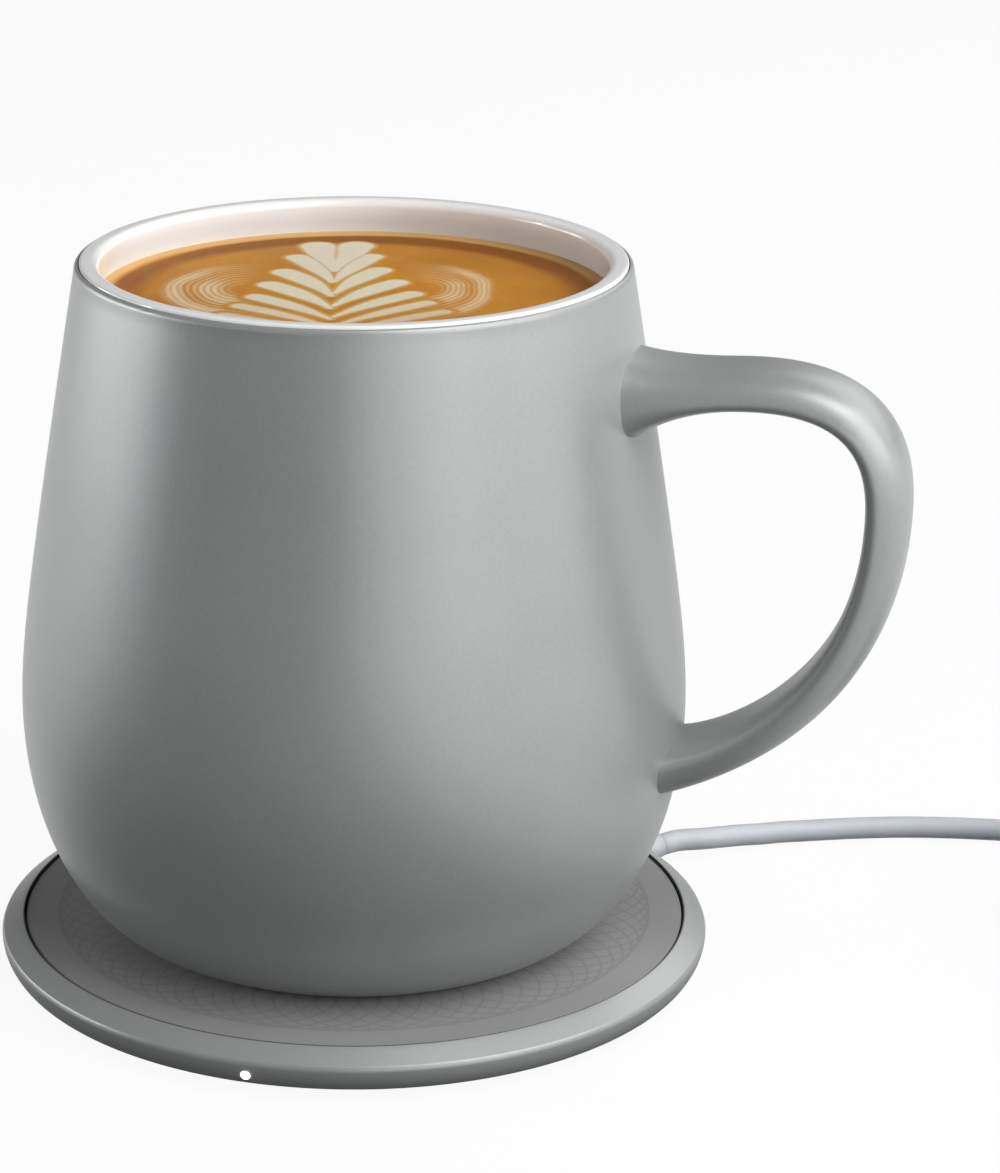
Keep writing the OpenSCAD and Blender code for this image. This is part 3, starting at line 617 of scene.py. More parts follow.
def circle_line(made, r, turn, side):
    """Nearness to the closest of many equal circles centred on a ring, on one side of it."""
    ring = CIRCLE_RING_R * MM
    across = made.math("MULTIPLY", r, 2 * ring)
    above = made.math("MULTIPLY_ADD", r, r, ring * ring - (CIRCLE_R * MM) ** 2)
    reach = made.math("DIVIDE", above, made.math("MAXIMUM", across, 1e-9))
    half = made.math("ARCCOSINE", made.math("MAXIMUM", made.math("MINIMUM", reach, 1.0), -1.0))
    centre = made.math("MULTIPLY_ADD", half, side, turn)
    step = TAU / CIRCLE_COUNT
    nearest = made.math("MULTIPLY", made.math("ROUND", made.math("DIVIDE", centre, step)), step)
    swing = made.math("COSINE", made.math("SUBTRACT", turn, nearest))
    square = made.math("MULTIPLY_ADD", r, r, ring * ring)
    apart = made.math("SQRT", made.math("SUBTRACT", square, made.math("MULTIPLY", across, swing)))
    gap = made.math("ABSOLUTE", made.math("SUBTRACT", apart, CIRCLE_R * MM))
    return made.ramp(gap, 1.0, 0.0, LINE_HALF * MM, (LINE_HALF + LINE_SOFT) * MM)


pad_print = speckled("printed pad", PAD_GREY, 0.5, 2600.0, 0.06, 0.006, 0.9)
pad_x, pad_y, pad_r = pad_print.around()
pad_turn = pad_print.math("ARCTAN2", pad_y, pad_x)
pad_sides = [circle_line(pad_print, pad_r, pad_turn, side) for side in (1.0, -1.0)]
pad_lines = pad_print.math("MAXIMUM", *pad_sides)
pad_plain = pad_print.paint_so_far()
pad_dark = pad_print.mix(LINE_SHARE, pad_plain, (0.05, 0.05, 0.05, 1))
pad_print.set("Base Color", pad_print.mix(pad_lines, pad_plain, pad_dark))

# Coffee: amber crema with a poured leaf, painted point by point on the surface

COFFEE_TONES = ("cream", "swirl", "outline", "dark", "pale")
COFFEE_RINGS = 170
COFFEE_SIDES = 540
FAR = 99.0
LEAVES = [
    # stem point, bend, tip, half width, strength; the left side, then the right side
    ((-3.0, 13.5), (-3.7, 22.5), (-5.4, 28.6), 2.75, 1.0),
    ((-2.8, 13.5), (-1.8, 22.5), (0.4, 28.8), 2.75, 1.0),
    ((-3.2, 6.5), (-4.8, 14.6), (-8.4, 21.6), 1.85, 1.0),
    ((-2.7, 7.0), (-0.7, 15.2), (2.7, 22.0), 1.8, 1.0),
    ((-3.3, -1.5), (-5.6, 6.4), (-10.2, 12.4), 2.0, 1.0),
    ((-2.7, 0.0), (-0.1, 7.8), (3.8, 13.6), 1.9, 1.0),
    ((-3.4, -8.6), (-6.8, -0.8), (-12.2, 4.9), 1.95, 1.0),
    ((-2.8, -7.2), (0.8, 0.4), (6.2, 6.1), 1.9, 1.0),
    ((-3.4, -14.6), (-7.9, -7.6), (-14.0, -2.2), 1.65, 0.95),
    ((-2.8, -13.4), (1.9, -6.2), (8.4, -0.6), 1.65, 0.95),
    ((-3.4, -19.0), (-9.0, -12.6), (-16.2, -7.4), 1.35, 0.85),
    ((-2.8, -18.4), (3.0, -11.6), (10.4, -5.8), 1.35, 0.85),
    ((-3.4, -23.0), (-10.0, -17.2), (-18.2, -12.4), 1.2, 0.7),
    ((-2.8, -22.6), (4.0, -16.2), (12.6, -10.8), 1.2, 0.7),
]
LEAF_STEM = 0.3
LEAF_FULL = 0.8
LEAF_SWELL = 1.4
WAVE_COUNT = 4
WAVE_TURN = 2.399
WAVE_SUM = 2.08


def leaf_cover(u, v, leaf):
    """How deep each point lies inside a leaf, in mm; negative outside."""
    start, bend, tip, half, _ = leaf
    best = np.full(u.shape, -FAR)
    for t in spread(0, 1, 28):
        x, y = bezier((start, bend, tip), t)
        full = math.sin(math.pi / 2 * min(1.0, t / LEAF_FULL)) ** LEAF_SWELL
        swell = LEAF_STEM + (1 - LEAF_STEM) * full
        best = np.maximum(best, half * swell - np.hypot(u - x, v - y))
    return best


def wobble(u, v, scale, seed):
    """Slow smooth waves from a few sines, between -1 and 1."""
    total = np.zeros(u.shape)
    for k in range(1, WAVE_COUNT + 1):
        turn = seed * 1.7 + k * WAVE_TURN
        total += np.sin((u * math.cos(turn) + v * math.sin(turn)) * k * 0.8 / scale + seed * k * 1.3) / k
    return total / WAVE_SUM


SWIRLS = [
    # eye, bearing of the open side, and the outer edge as bearings and distances from the eye
    ((-15.5, 2.0), 20, ((0, 9.0), (45, 11.5), (83, 15.7), (92, 16.8), (130, 13.1), (180, 11.7), (217, 12.6),
                        (248, 14.2), (274, 16.4), (303, 21.6), (335, 14.0))),
    ((10.5, 3.0), 160, ((0, 8.9), (52, 11.4), (90, 15.5), (99, 16.0), (135, 11.5), (180, 9.0), (205, 14.0),
                        (232, 22.2), (267, 18.2), (291, 15.2), (320, 10.9))),
]
SWIRL_COUNT = 11.5
# Where each part of a swirl sets in and is full: as shares of its reach, or degrees from its open side
SWIRL_CENTRE = (0.1, 0.28)
SWIRL_EDGE = (0.9, 1.08)
SWIRL_OPEN = (42, 95)
BAND_FROM = (0.72, 0.86)
BAND_OPEN = (70, 120)
CORE_FROM = (0.2, 0.4)
CORE_TO = (0.5, 0.68)
CORE_OPEN = (85, 140)


def swirl_lines(u, v):
    """Cream drawn out in fine lines round both sides of the leaf."""
    cream = np.zeros(u.shape)
    for eye, open_at, edge in SWIRLS:
        bearing = np.degrees(np.arctan2(v - eye[1], u - eye[0])) % 360
        turns, reaches = zip(*edge)
        smoothed = [np.interp(bearing + turn, turns, reaches, period=360) for turn in spread(-18, 18, 12)]
        level = np.hypot(u - eye[0], v - eye[1]) / np.mean(smoothed, axis=0)
        level = level + 0.03 * wobble(u, v, 3.5, 2.0) + 0.01 * wobble(u, v, 1.2, 4.0)
        away = np.abs((bearing - open_at + 180) % 360 - 180)
        inside = 1 - smooth_step(level, *SWIRL_EDGE)
        band = smooth_step(level, *BAND_FROM) * inside * smooth_step(away, *BAND_OPEN)
        core = smooth_step(level, *CORE_FROM) * (1 - smooth_step(level, *CORE_TO))
        core = core * smooth_step(away, *CORE_OPEN)
        phase = TAU * SWIRL_COUNT * np.maximum(level, 0) ** 1.1 + 2.2 * wobble(u, v, 4.5, 5.0)
        sharp = np.clip(1.4 + 0.8 * wobble(u, v, 5.0, 9.0) - 0.6 * band - 0.7 * core, 0.4, 3.0)
        fine = (0.5 + 0.5 * np.cos(phase)) ** sharp
        drawn = smooth_step(level, *SWIRL_CENTRE) * inside * fine * (0.8 + 0.3 * wobble(u, v, 3.0, 6.0))
        drawn = drawn * (0.5 + 0.4 * core + 0.08 * band)
        cream = np.maximum(cream, smooth_step(away, *SWIRL_OPEN) * (drawn + 0.42 * band + 0.18 * core))
    return np.clip(cream, 0, 1)


# Depths in a leaf, distances from its parting lines and radii of the drink, in mm, where each tone sets in
LEAF_EDGE = (-0.15, 0.25)
LINE_FROM = (-0.85, -0.2)
LINE_TO = (-0.1, 0.3)
SWIRL_CLEAR = (-1.9, -0.4)
PARTING_W = (0.1, 0.65)
PARTING_JOIN = -0.35
PARTING_NONE = 9.0
NOTCH_W = (0.1, 0.9)
NOTCH_V = (16.0, 23.0)
DARK_FROM = (29.0, 33.0)
DARK_TO = (34.6, 35.5)
DARK_FRONT = (-10, 25)
PALE_FROM = (35.2, 36.2)


def coffee_tones(x, y):
    """Cream, swirls, gold outline, dark and pale crema at points in mm in the mug's frame."""
    u = x * VIEW_COS + y * VIEW_SIN
    v = -x * VIEW_SIN + y * VIEW_COS
    covers = [leaf_cover(u, v, leaf) for leaf in LEAVES]
    depth = np.full(u.shape, -FAR)
    strength = np.zeros(u.shape)
    for leaf, cover in zip(LEAVES, covers):
        strength = np.where(cover > depth, leaf[4], strength)
        depth = np.maximum(depth, cover)
    parting = np.full(u.shape, FAR)
    for first, second in zip(covers, covers[2:]):
        apart = np.where(np.minimum(first, second) > PARTING_JOIN, 0, PARTING_NONE)
        parting = np.minimum(parting, np.abs(first - second) + apart)
    notch = np.where(v > NOTCH_V[0], np.abs(covers[0] - covers[1]), PARTING_NONE)
    notch = notch + 1.2 * (1 - smooth_step(v, *NOTCH_V))
    cream = smooth_step(depth, *LEAF_EDGE) * strength
    cream = cream * (1 - 0.42 * (1 - smooth_step(parting, *PARTING_W)))
    cream = cream * (1 - 0.5 * (1 - smooth_step(notch, *NOTCH_W)))
    outline = smooth_step(depth, *LINE_FROM) * (1 - smooth_step(depth, *LINE_TO))
    swirl = swirl_lines(u, v) * (1 - smooth_step(depth, *SWIRL_CLEAR))
    r = np.hypot(x, y)
    dark = smooth_step(r, *DARK_FROM) * (1 - smooth_step(r, *DARK_TO))
    dark = dark * (0.55 + 0.45 * smooth_step(v, *DARK_FRONT))
    dark = np.clip(dark + 0.28 * wobble(u, v, 7.0, 3.0) + 0.12 * wobble(u, v, 2.2, 7.0) + 0.18, 0, 1)
    pale = 0.8 * smooth_step(r + 0.25 * wobble(x, y, 2.5, 11.0), *PALE_FROM)
    return cream, swirl, outline, dark, pale


def coffee_r(z):
    return cup_out(z) - LINER_T - COFFEE_CLEAR


def coffee_mesh():
    """Closed body of drink: a finely divided surface over a plain underside."""
    edge = coffee_r(COFFEE_Z)
    profile = [(0, COFFEE_Z)]
    for k in range(1, COFFEE_RINGS + 1):
        r = edge * k / COFFEE_RINGS
        rise = MENISCUS_H * max(0.0, (r - edge + MENISCUS_W) / MENISCUS_W) ** 2
        profile.append((r, COFFEE_Z + rise))
    profile += [(coffee_r(z), z) for z in (COFFEE_SIDE_Z, COFFEE_UNDER_Z)]
    profile.append((0, COFFEE_UNDER_Z))
    mesh = revolve(on_pad(profile), COFFEE_SIDES, 50)
    points = np.empty(len(mesh.vertices) * 3)
    mesh.vertices.foreach_get("co", points)
    points = points.reshape(-1, 3) / MM
    for name, values in zip(COFFEE_TONES, coffee_tones(points[:, 0], points[:, 1])):
        mesh.attributes.new(name, "FLOAT", "POINT").data.foreach_set("value", values.astype(np.float32))
    return mesh


coffee_look = Shader("crema and cream", (0.4, 0.17, 0.035), 0.5, specular=0.1)
coffee_mottle = coffee_look.noise(900.0, 4.0, 0.65)
coffee_paint = coffee_look.grain(coffee_mottle, (0.53, 0.208, 0.015), (0.62, 0.27, 0.03))
coffee_cream = coffee_look.grain(coffee_mottle, (0.74, 0.66, 0.49), (0.79, 0.715, 0.55))
for tone, paint in (
    ("dark", (0.28, 0.09, 0.006, 1)),
    ("outline", (0.62, 0.35, 0.08, 1)),
    ("pale", (0.66, 0.43, 0.18, 1)),
    ("swirl", (0.78, 0.62, 0.37, 1)),
    ("cream", coffee_cream),
):
    share = coffee_look.node("ShaderNodeAttribute", attribute_name=tone).outputs["Fac"]
    coffee_paint = coffee_look.mix(share, coffee_paint, paint)
coffee_look.set("Base Color", coffee_paint)
coffee_look.set("Roughness", coffee_look.grain(coffee_mottle, 0.45, 0.55))
coffee_look.bump(coffee_mottle, 0.02 * MM, 0.5)

# Camera

camera_data = bpy.data.cameras.new("camera")
camera_data.sensor_width = SENSOR
camera_data.lens = FOCAL_PIXELS / FRAME_H * SENSOR
camera_data.shift_x = (FRAME_W / 2 - CENTRE_PIXEL) / FRAME_H
camera = bpy.data.objects.new("camera", camera_data)
camera.location = (VIEW_DISTANCE * VIEW_SIN * MM, -VIEW_DISTANCE * VIEW_COS * MM, VIEW_HEIGHT * MM)
camera.rotation_euler = (math.pi / 2 - VIEW_PITCH, 0, VIEW_AZIMUTH)
scene.collection.objects.link(camera)
scene.camera = camera

# Cord: one line from the boot through the put-away coil to the plug


def wire(radius, resolution):
    """Round wire round a line that is still to be drawn."""
    data = bpy.data.curves.new("wire", "CURVE")
    data.dimensions = "3D"
    data.bevel_depth = radius * MM
    data.bevel_resolution = resolution
    data.use_fill_caps = True
    return data


def hank_point(t):
    """Point of the coil after t turns: it spirals in, climbs a layer and spirals out."""
    a = math.pi / 2 - TAU * t
    s = t - HANK_TURNS
    r = HANK_R + HANK_PITCH * math.sqrt(s * s + HANK_SOFT ** 2)
    c = min(max(s / HANK_CLIMB + 0.5, 0), 1)
    return (HANK_X + r * math.cos(a), HANK_Y + r * math.sin(a), HANK_Z + HANK_PITCH * c * c * (3 - 2 * c))


def cord_route():
    tip = (BOOT_TIP_R * math.cos(CORD_ANGLE), BOOT_TIP_R * math.sin(CORD_ANGLE), CORD_H)
    out = (tip[0] + CORD_D * math.cos(CORD_ANGLE), tip[1] + CORD_D * math.sin(CORD_ANGLE), CORD_H)
    loops = int((2 * HANK_TURNS + 0.25) * HANK_RINGS)
    coil = [hank_point(i / HANK_RINGS) for i in range(loops + 1)]
    x, y, z = coil[0]
    lead = [(x - 2 * CORD_D, y, z), (x - CORD_D, y, z)]
    x, y, z = coil[-1]
    leave = [(x, y - CORD_D, z), (x, y - 1.5 * CORD_D, z)]
    arrive = [(PLUG_X, PLUG_Y + CORD_D, PLUG_T / 2), (PLUG_X, PLUG_Y, PLUG_T / 2)]
    return [tip, out] + CORD_POINTS + lead + coil + leave + TAIL_POINTS + arrive


cord_points = cord_route()
cord_data = wire(CORD_D / 2, 6)
cord_data.resolution_u = 5
cord_spline = cord_data.splines.new("BEZIER")
cord_spline.bezier_points.add(len(cord_points) - 1)
for knot, point in zip(cord_spline.bezier_points, cord_points):
    knot.co = Vector(point) * MM
    knot.handle_left_type = "AUTO"
    knot.handle_right_type = "AUTO"
cord = add_piece("cord", cord_data, "coaster", cord_jacket, "cord_jacket",
                 "cord_run", "cord_coil", "cord_tail")

# The drink, and skins that take the place of plain solids

FINE_SIDES = 240
PAD_SIDES = 200
LIGHT_SIDES = 32


def light_mesh():
    """Light pipe along -Y whose domed face stands square on the curved side."""
    side_z = COASTER_H - RIM_DROP - EDGE_H
    deep = side_z - HOUSING_Z
    lean = math.asin((side_z - LIGHT_Z) / deep)
    face_y = COASTER_R - SIDE_IN * (1 - math.cos(lean))
    tilt = math.atan2(math.sin(lean) / deep, math.cos(lean) / SIDE_IN)
    bm = bmesh.new()
    turns = full_turn(LIGHT_SIDES)
    spots = [Vector((LIGHT_R * math.cos(a), -LIGHT_Y, LIGHT_Z + LIGHT_R * math.sin(a))) for a in turns]
    rings = [[bm.verts.new(spot * MM) for spot in spots]]
    for b in spread(0, math.pi / 2, 6):
        r, rise = LIGHT_R * math.cos(b), LIGHT_PROUD * math.sin(b)
        ring = []
        for a in turns[:1] if r < AXIS_R else turns:
            up = r * math.sin(a)
            y = face_y + rise * math.cos(tilt) + up * math.sin(tilt)
            z = LIGHT_Z - rise * math.sin(tilt) + up * math.cos(tilt)
            ring.append(bm.verts.new((r * MM * math.cos(a), -y * MM, z * MM)))
        rings.append(ring)
    skin_rings(bm, rings)
    bm.faces.new(rings[0])
    return finish_mesh(bm, 50)


housing_mesh = revolve(housing_profile(), FINE_SIDES, 28)
for node, mesh, body, look, slot in (
    ("mug_shell", revolve(shell_profile(), FINE_SIDES), "mug", grey_ceramic, "grey_ceramic"),
    ("mug_liner", revolve(liner_profile(), FINE_SIDES), "mug", white_glaze, "white_glaze"),
    ("mug_handle", handle_mesh(), "mug", grey_ceramic, "grey_ceramic"),
    ("coaster_housing", housing_mesh, "coaster", coaster_paint, "coaster_grey"),
    ("top_pad", revolve(pad_profile(), PAD_SIDES), "coaster", pad_print, "pad_grey"),
    ("light_pipe", light_mesh(), "coaster", lamp_white, "lamp_white"),
):
    add_piece(node + "_skin", mesh, body, look, slot, node)
add_piece("coffee", coffee_mesh(), "mug", coffee_look)

# Windings: round wire in flat spirals

COIL_TURNS = 8
COIL_PITCH = 1.5
COIL_R = 10.967
WIRE_R = 0.45
TRANSMIT_Z = 4.85
RECEIVE_Z = 9.85
STEPS_A_TURN = 72


def winding(z):
    data = wire(WIRE_R, 3)
    steps = COIL_TURNS * STEPS_A_TURN
    spline = data.splines.new("POLY")
    spline.points.add(steps)
    for i, knot in enumerate(spline.points):
        a = TAU * COIL_TURNS * i / steps
        r = COIL_R + COIL_PITCH * COIL_TURNS * i / steps
        knot.co = (r * MM * math.cos(a), r * MM * math.sin(a), z * MM, 1)
    return data


for name, z, body, node in (
    ("transmit_winding", TRANSMIT_Z, "coaster", "transmit_coil"),
    ("receiver_winding", RECEIVE_Z, "mug", "receiver_coil"),
):
    add_piece(name, winding(z), body, copper, "copper", node)

# Boot and sleeve: turned, the sleeve with ring grooves

TURNED_SIDES = 40
GROOVE_DEPTH = 0.28
GROOVE_SHARE = 0.38
GROOVE_SHAPE = ((-1, 0), (-0.6, 0.75), (-0.3, 1), (0.3, 1), (0.6, 0.75), (1, 0))
SLEEVE_R = 2.05
SLEEVE_END_R = 3.0
SLEEVE_L = 9.0
SLEEVE_GROOVES = 6
SLEEVE_MARGIN = 0.8
SLEEVE_SOFT = (0.25, 0.07)
BOOT_NECK_R = 1.98
BOOT_R = 2.35
BOOT_END_R = 1.88
BOOT_L = 5.5
BOOT_FOOT_R = 53.4
BOOT_FLANGE_R = 47.0
BOOT_FLANGE_T = 1.55
BOOT_FLANGE_W = 1.2
BOOT_SOFT = (0.3, 0.08)
BOOT_END_SOFT = (0.2, 0.06)


def sleeve_profile():
    """(radius, distance) points of a sleeve with rounded ends and even ring grooves."""
    soft, cut = SLEEVE_SOFT
    points = [(SLEEVE_R - soft, 0.0), (SLEEVE_R - cut, cut), (SLEEVE_R, soft)]
    span = (SLEEVE_L - 2 * SLEEVE_MARGIN) / SLEEVE_GROOVES
    for k in range(SLEEVE_GROOVES):
        for share, sink in GROOVE_SHAPE:
            at = SLEEVE_MARGIN + span * (k + 0.5) + span * GROOVE_SHARE * share
            points.append((SLEEVE_R + (SLEEVE_END_R - SLEEVE_R) * at / SLEEVE_L - GROOVE_DEPTH * sink, at))
    points += [(SLEEVE_END_R, SLEEVE_L - soft), (SLEEVE_END_R - cut, SLEEVE_L - cut)]
    return points + [(SLEEVE_END_R - soft, SLEEVE_L)]


def boot_profile():
    """(radius, distance) points of the boot: its flange, its neck in the wall and its taper outside."""
    soft, cut = BOOT_SOFT
    end_soft, end_cut = BOOT_END_SOFT
    foot = BOOT_FOOT_R - BOOT_FLANGE_R
    taper = [(BOOT_R - soft, 0), (BOOT_R - cut, cut), (BOOT_R, soft), (BOOT_END_R, BOOT_L - soft),
             (BOOT_END_R - end_cut, BOOT_L - cut), (BOOT_END_R - end_soft, BOOT_L)]
    flange = [(BOOT_FLANGE_W, 0), (BOOT_FLANGE_W, BOOT_FLANGE_T), (BOOT_NECK_R, BOOT_FLANGE_T)]
    return flange + [(BOOT_NECK_R, foot)] + [(r, d + foot) for r, d in taper]


def turned_along(profile, origin, heading):
    """Closed turned piece: (radius, distance) points along a level heading from origin, in mm."""
    side = Vector((-heading.y, heading.x, 0))
    turns = full_turn(TURNED_SIDES)
    bm = bmesh.new()
    rings = []
    for r, d in profile:
        middle = origin + heading * d
        spots = [middle + side * (r * math.cos(a)) + Vector((0, 0, r * math.sin(a))) for a in turns]
        rings.append([bm.verts.new(spot * MM) for spot in spots])
    skin_rings(bm, rings, capped=True)
    return finish_mesh(bm, 50)


cord_heading = Vector((math.cos(CORD_ANGLE), math.sin(CORD_ANGLE), 0))
boot_start = cord_heading * BOOT_FLANGE_R + Vector((0, 0, CORD_H))
boot_mesh = turned_along(boot_profile(), boot_start, cord_heading)
boot = add_piece("strain_relief_boot", boot_mesh, "coaster", cord_jacket, "cord_jacket", "strain_relief")

plug_heading = Vector((0, -1, 0))
plug_start = Vector((PLUG_X, PLUG_Y, PLUG_T / 2))
sleeve_mesh = turned_along(sleeve_profile(), plug_start, plug_heading)
sleeve = add_piece("plug_relief_sleeve", sleeve_mesh, "coaster", cord_jacket, "cord_jacket", "plug_relief")

# Plug: a rounded grip with ridges, a folded steel shell with its windows, and four contacts

PLUG_W = 15.5
PLUG_L = 19.0
PLUG_CORNER = 2.2
PLUG_LEAST_CORNER = 0.4
PLUG_SOFT = 1.1
PLUG_BODY_Y = PLUG_Y - SLEEVE_L
PLUG_FRONT_Y = PLUG_BODY_Y - PLUG_L
RIDGE_FROM = 4.0
RIDGE_TO = 15.4
RIDGE_PITCH = 1.9
RIDGE_DEPTH = 0.35
RIDGE_EDGE = 0.6
SHELL_W = 12.0
SHELL_H = 4.5
SHELL_L = 12.0
SHELL_SKIN = 0.3
WINDOW_IN = 1.9
WINDOW_OUT = 4.1
WINDOW_FROM = 5.2
WINDOW_TO = 7.8
WINDOW_CELLS = ((1, 1), (3, 1))
FOLD_W = 0.12
INSERT_T = 1.9
CONTACTS = ((-3.5, 2.6), (-1.0, 3.4), (1.0, 3.4), (3.5, 2.6))
CONTACT_END = 10.9
CONTACT_W = 1.1
CONTACT_T = 0.12
CONTACT_SINK = 0.05


def rounded_section(width, height, corner, per_corner=7):
    """Points round a rounded rectangle, counter-clockwise."""
    points = []
    for cx, cz, start in ((1, 1, 0), (-1, 1, 90), (-1, -1, 180), (1, -1, 270)):
        points += quarter(cx * (width / 2 - corner), cz * (height / 2 - corner), corner, start, per_corner)
    return points


def grip_mesh():
    bm = bmesh.new()
    rings = []
    angles = spread(0, math.pi / 2, 6)
    ends = [(PLUG_SOFT * (1 - math.cos(a)), PLUG_SOFT * (1 - math.sin(a))) for a in angles]
    steps = ends + [(d, 0.0) for d in spread(PLUG_SOFT, PLUG_L - PLUG_SOFT, 64)[1:-1]]
    steps += [(PLUG_L - d, inset) for d, inset in reversed(ends)]
    for d, inset in steps:
        corner = max(PLUG_CORNER - inset, PLUG_LEAST_CORNER)
        ridge = 0.5 - 0.5 * math.cos(TAU * (d - RIDGE_FROM) / RIDGE_PITCH)
        sink = RIDGE_DEPTH * ridge if RIDGE_FROM < d < RIDGE_TO else 0.0
        ring = []
        for x, z in rounded_section(PLUG_W - 2 * inset, PLUG_T - 2 * inset, corner):
            if abs(z) > PLUG_T / 2 - RIDGE_EDGE and sink:
                z -= math.copysign(sink, z)
            ring.append(bm.verts.new(Vector((PLUG_X + x, PLUG_BODY_Y - d, PLUG_T / 2 + z)) * MM))
        rings.append(ring)
    skin_rings(bm, rings, capped=True)
    return finish_mesh(bm, 45)


grip = add_piece("plug_grip", grip_mesh(), "coaster", cord_jacket, "cord_jacket", "plug_body")


def plug_shell_mesh():
    """Folded sheet: a flat tube with two windows in each broad face."""
    half_w, half = SHELL_W / 2, SHELL_H / 2
    columns = [-half_w, -WINDOW_OUT, -WINDOW_IN, WINDOW_IN, WINDOW_OUT, half_w]
    rows = [0.0, WINDOW_FROM, WINDOW_TO, SHELL_L]
    bm = bmesh.new()
    spots = {}

    def corner(x, z, d):
        key = (round(x, 3), round(z, 3), round(d, 3))
        if key not in spots:
            spots[key] = bm.verts.new(Vector((PLUG_X + x, PLUG_FRONT_Y - d, PLUG_T / 2 + z)) * MM)
        return spots[key]

    for z in (-half, half):
        for i in range(5):
            for j in range(3):
                if (i, j) in WINDOW_CELLS:
                    continue
                a, b, c, d = columns[i], columns[i + 1], rows[j], rows[j + 1]
                bm.faces.new((corner(a, z, c), corner(b, z, c), corner(b, z, d), corner(a, z, d)))
    for x in (-half_w, half_w):
        for c, d in zip(rows, rows[1:]):
            bm.faces.new((corner(x, -half, c), corner(x, half, c), corner(x, half, d), corner(x, -half, d)))
    bmesh.ops.recalc_face_normals(bm, faces=bm.faces)
    for face in bm.faces:
        middle = face.calc_center_median()
        out = Vector((middle.x - PLUG_X * MM, 0, middle.z - PLUG_T / 2 * MM))
        if face.normal.dot(out) < 0:
            face.normal_flip()
    mesh = bpy.data.meshes.new("sheet")
    bm.to_mesh(mesh)
    bm.free()
    return mesh


sheath = add_piece("plug_sheath", plug_shell_mesh(), "coaster", steel, "steel", "plug_shell")
sheet = sheath.modifiers.new("sheet", "SOLIDIFY")
sheet.thickness = SHELL_SKIN * MM
sheet.offset = -1
fold = sheath.modifiers.new("fold", "BEVEL")
fold.width = FOLD_W * MM
fold.segments = 2
fold.limit_method = "ANGLE"


def contact_mesh():
    """Four gold strips on the insert's lower face."""
    bm = bmesh.new()
    under = PLUG_T / 2 + SHELL_H / 2 - SHELL_SKIN - INSERT_T
    for x, start in CONTACTS:
        made = bmesh.ops.create_cube(bm, size=1.0)
        for vert in made["verts"]:
            vert.co.x = (PLUG_X + x + vert.co.x * CONTACT_W) * MM
            vert.co.y = (PLUG_FRONT_Y - CONTACT_END + (vert.co.y + 0.5) * (CONTACT_END - start)) * MM
            vert.co.z = (under - CONTACT_SINK + vert.co.z * CONTACT_T) * MM
    return finish_mesh(bm, 30)


contacts = add_piece("plug_contacts", contact_mesh(), "coaster", gold)

# Tie: a soft strap round one side of the coil, with its free end lapped over

TIE_LOW = 11.89
TIE_HIGH = 28.55
TIE_H = HANK_PITCH + 2 * (HANK_Z - TIE_T)
TIE_CORNER = 1.9
STRAP_SOFT = 0.18
# The lapped end: (distance along it, height over the strap)
FLAP = ((-1.5, -0.02), (4.6, -0.02), (5.2, 0.12), (4.6, TIE_T), (-0.9, TIE_T), (-1.5, 0.3))
FLAP_IN = 0.3
FLAP_SOFT = 0.3
FLAP_SINK = 0.12
FLAP_TOP = 0.2


def strap_mesh():
    bm = bmesh.new()
    middle_y = HANK_Y - (TIE_LOW + TIE_HIGH) / 2
    deep, tall = TIE_HIGH - TIE_LOW + TIE_T, TIE_H + TIE_T
    line = rounded_section(deep, tall, TIE_CORNER, 10)
    half = TIE_W / 2
    soft = half - STRAP_SOFT
    section = [(-soft, 1), (-half, 0.4), (-half, -0.4), (-soft, -1)]
    section += [(soft, -1), (half, -0.4), (half, 0.4), (soft, 1)]
    rings = []
    for i, (y, z) in enumerate(line):
        before, after = line[i - 1], line[(i + 1) % len(line)]
        run = Vector((after[0] - before[0], after[1] - before[1])).normalized()
        out = Vector((run.y, -run.x))
        ring = []
        for x, side in section:
            spot_y = middle_y + y + out.x * side * TIE_T / 2
            spot_z = z + out.y * side * TIE_T / 2 + tall / 2 + TIE_T / 2
            ring.append(bm.verts.new(Vector((HANK_X + x, spot_y, spot_z)) * MM))
        rings.append(ring)
    rings.append(rings[0])
    skin_rings(bm, rings)
    top = tall + TIE_T
    end, inner = half - FLAP_IN, half - FLAP_IN - FLAP_SOFT
    rings = []
    for x, sink in ((-end, FLAP_SINK), (-inner, 0.0), (inner, 0.0), (end, FLAP_SINK)):
        spots = [(y, top + z - sink * (z > FLAP_TOP)) for y, z in FLAP]
        rings.append([bm.verts.new(Vector((HANK_X + x, middle_y + y, z)) * MM) for y, z in spots])
    skin_rings(bm, rings, capped=True)
    return finish_mesh(bm, 40)


strap = add_piece("coil_strap", strap_mesh(), "coaster", dark_rubber, "dark_rubber", "cord_tie")

# Materials of the solids that stay as they are

NODE_LOOKS = {
    "coaster_foot": dark_rubber, "mug_foot": dark_rubber, "base_gasket": dark_rubber,
    "coaster_base": dark_plastic, "top_plate": dark_plastic,
    "base_cover": dark_plastic, "module_case": dark_plastic,
    "control_board": board_green, "receiver_board": board_green,
    "board_chips": chip_black, "receiver_chips": chip_black,
    "board_capacitors": part_ceramic, "temperature_sensor": part_ceramic,
    "lead_wires": copper, "heater_leads": copper,
    "transmit_ferrite": ferrite, "receiver_ferrite": ferrite,
    "base_screws": steel, "cover_screws": steel,
    "heat_spreader": spreader_metal, "heater_film": film_amber, "insulation_disc": fibre,
    "status_led": lamp_white, "plug_insert": insert_white,
}
for node, look in NODE_LOOKS.items():
    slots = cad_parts[node].data.materials
    slots.clear()
    slots.append(look.material)

# Floor, backdrop colour and lamps

